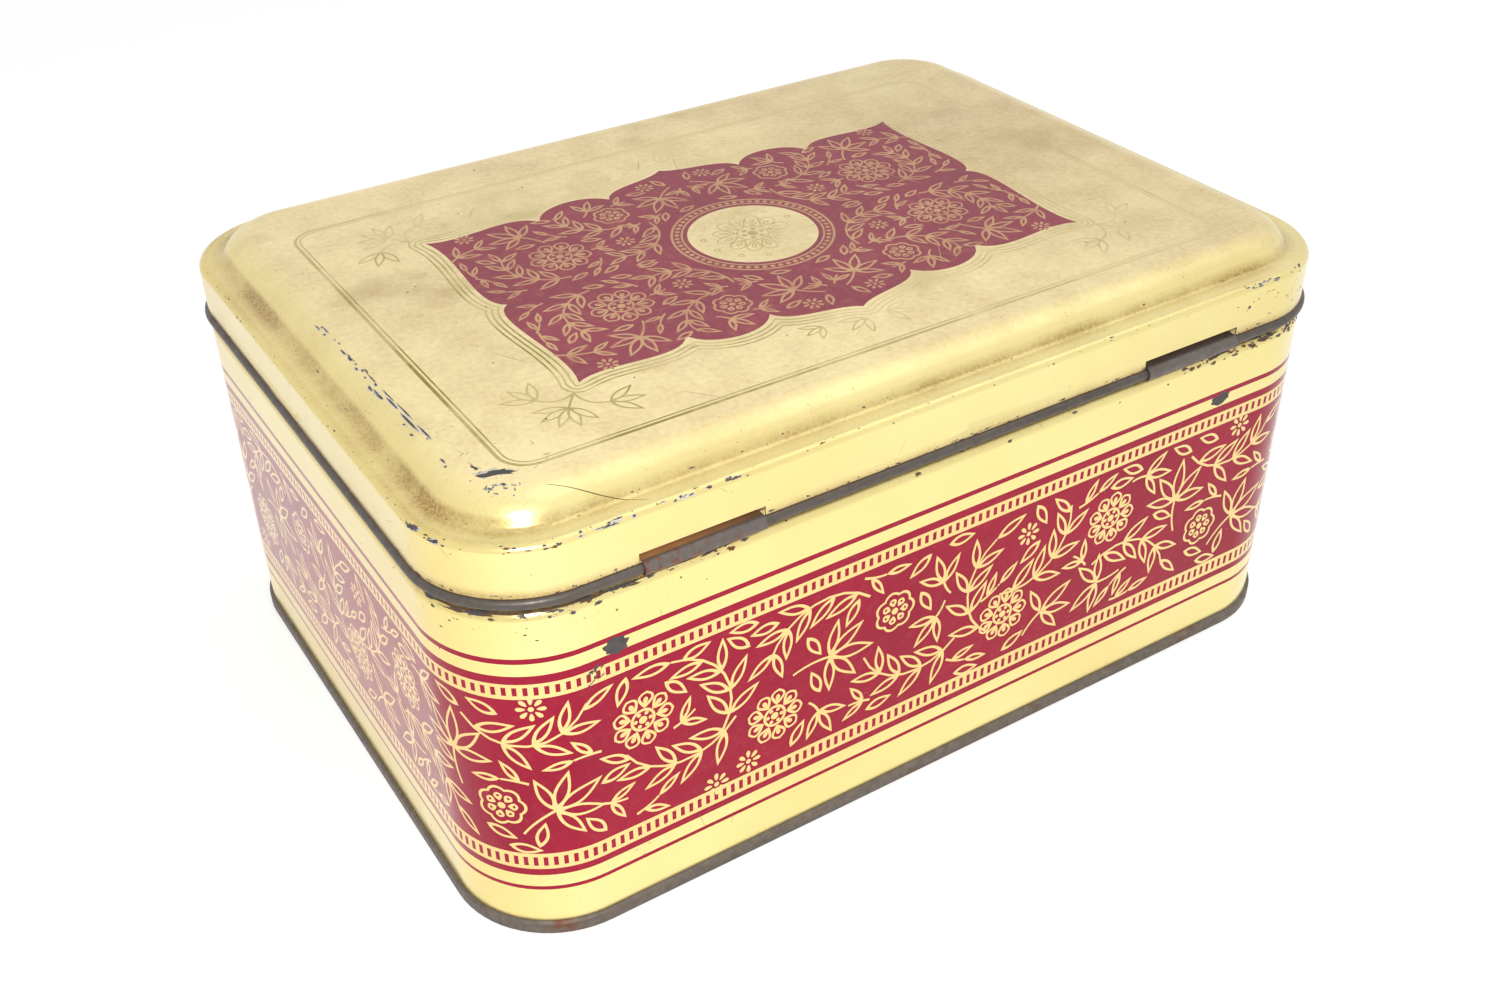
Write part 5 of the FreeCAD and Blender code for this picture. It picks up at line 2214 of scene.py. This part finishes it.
@dataclass
class BareNodes:
    """CAD nodes that keep their own shape: the bottom plate and the hinge straps."""

    bottom: str = "bottom_plate"
    straps: tuple[str, str] = ("hinge_strap_left", "hinge_strap_right")

    def dress(self) -> list[bpy.types.Object]:
        """Give the nodes their finishes.

        Returns:
            The nodes.
        """
        plate = srgb(122, 114, 108), srgb(90, 82, 78)
        dull = Steel(srgb(126, 116, 106), srgb(88, 80, 74), floor=srgb(204, 192, 158))
        # The recess colours are rust made light as painted light in the shaded slots.
        rusted = Steel(*plate, srgb(126, 76, 64), (0.5, 0.62), roughness=0.36, rust_end=(0.056, 0.068),
                       recess_light_and_rust=srgb(240, 176, 116))
        worn = Steel(*plate, srgb(112, 72, 54), (0.56, 0.7), roughness=0.36, recess_light_and_rust=srgb(150, 122, 98))
        materials = (dull.material("dull_bottom_steel"), rusted.material("rusted_strap"),
                     worn.material("worn_strap"))
        nodes = []
        for name, material in zip((self.bottom, *self.straps), materials):
            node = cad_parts[name]
            node.data.materials.clear()
            node.data.materials.append(material)
            nodes.append(node)
        return nodes


@dataclass(frozen=True)
class Lamp:
    """Soft round lamp that lights the box but isn't seen, in metres and watts."""

    name: str
    spot: tuple[float, float, float]
    size: float
    watts: float
    aim: tuple[float, float, float] = (0.0, 0.0, 0.05)

    def hang(self) -> None:
        """Hang the lamp, turned to the box."""
        data = bpy.data.lights.new(self.name, "AREA")
        data.shape = "DISK"
        data.size = self.size
        data.energy = self.watts
        lamp = bpy.data.objects.new(self.name, data)
        lamp.location = self.spot
        lamp.visible_camera = False
        lamp.rotation_mode = "QUATERNION"
        lamp.rotation_quaternion = (Vector(self.aim) - Vector(self.spot)).to_track_quat("-Z", "Y")
        bpy.context.scene.collection.objects.link(lamp)


@dataclass
class Studio:
    """White floor and surround, soft lamps and the camera."""

    azimuth: float = 148.08
    elevation: float = 34.546
    roll: float = -1.164
    distance: float = 416.81
    target: tuple[float, float, float] = (0.4746, -1.798, 23.877)
    focal_pixels: float = 1629.6
    image_width: float = 1500.0
    sensor: float = 36.0
    surround: float = 0.6
    floor_lift: float = 0.41
    floor_reach: float = 6.0
    floor_drop: float = -0.0002
    floor_grey: float = 0.86
    near: float = 0.01
    lamps: tuple[Lamp, ...] = (Lamp("key", (0.218, 0.361, 0.345), 0.09, 1.0),
                               Lamp("top", (-0.5, 0.1, 1.2), 1.0, 1.4))

    def camera(self) -> None:
        """Make the camera at the viewing angle of the photograph."""
        azimuth, elevation, roll = (math.radians(v) for v in (self.azimuth, self.elevation, self.roll))
        back = Vector((math.sin(azimuth) * math.cos(elevation), -math.cos(azimuth) * math.cos(elevation),
                       math.sin(elevation)))
        right = Vector((0.0, 0.0, 1.0)).cross(back).normalized()
        rise = back.cross(right)
        across = right * math.cos(roll) + rise * math.sin(roll)
        upward = rise * math.cos(roll) - right * math.sin(roll)
        data = bpy.data.cameras.new("camera")
        data.sensor_width = self.sensor
        data.lens = self.focal_pixels / self.image_width * self.sensor
        data.clip_start = self.near
        camera = bpy.data.objects.new("camera", data)
        turn = Matrix((across, upward, back)).transposed().to_4x4()
        camera.matrix_world = Matrix.Translation((Vector(self.target) + back * self.distance) * MM) @ turn
        bpy.context.scene.collection.objects.link(camera)
        bpy.context.scene.camera = camera

    def world(self) -> None:
        """Make the surround: white where it is seen, at a plain level where it lights."""
        world = bpy.data.worlds.new("surround")
        nodes = Nodes(world)
        strength = nodes.span(nodes.seen(), (0.0, 1.0, self.surround, 1.0))
        light = nodes.add("Background", "Background", {"Strength": strength}, values={"Color": WHITE})
        nodes.add("OutputWorld", links={"Surface": light})
        bpy.context.scene.world = world

    def floor(self) -> None:
        """Make the pale floor, which shows white and keeps the shadow of the box."""
        mesh = bpy.data.meshes.new("floor")
        reach = self.floor_reach
        corners = box_shape(-reach, reach, -reach, reach, None).outline
        mesh.from_pydata([(x, y, self.floor_drop) for x, y in corners], [], [(0, 1, 2, 3)])
        material = bpy.data.materials.new("pale_floor")
        nodes = Nodes(material)
        grey = (self.floor_grey, self.floor_grey, self.floor_grey, 1.0)
        matt = nodes.add("BsdfDiffuse", "BSDF", values={"Color": grey})
        strength = nodes.chain("MULTIPLY", nodes.seen(), self.floor_lift)
        glow = nodes.add("Emission", "Emission", {"Strength": strength})
        both = nodes.add("AddShader", "Shader", {0: matt, 1: glow})
        nodes.add("OutputMaterial", links={"Surface": both})
        mesh.materials.append(material)
        floor = bpy.data.objects.new("floor", mesh)
        bpy.context.scene.collection.objects.link(floor)

    def build(self) -> None:
        """Set up everything round the box."""
        bpy.context.scene.view_settings.view_transform = "Standard"
        self.world()
        self.floor()
        for lamp in self.lamps:
            lamp.hang()
        self.camera()


def report(pieces: Iterable[bpy.types.Object]) -> None:
    """Log the name and the number of faces of each piece."""
    for piece in pieces:
        LOG.info("%s: %d faces", piece.name, len(piece.data.polygons))


def main() -> None:
    """Build the pieces in order, then the studio."""
    logging.basicConfig(level=logging.INFO, format="%(name)s %(message)s")
    plan = Plan()
    palette = Palette()
    report([PrintedWall(plan, palette).build()])
    report([DrawnLid(plan, palette).build()])
    report(BareNodes().dress())
    Studio().build()


if __name__ == "__main__":
    main()
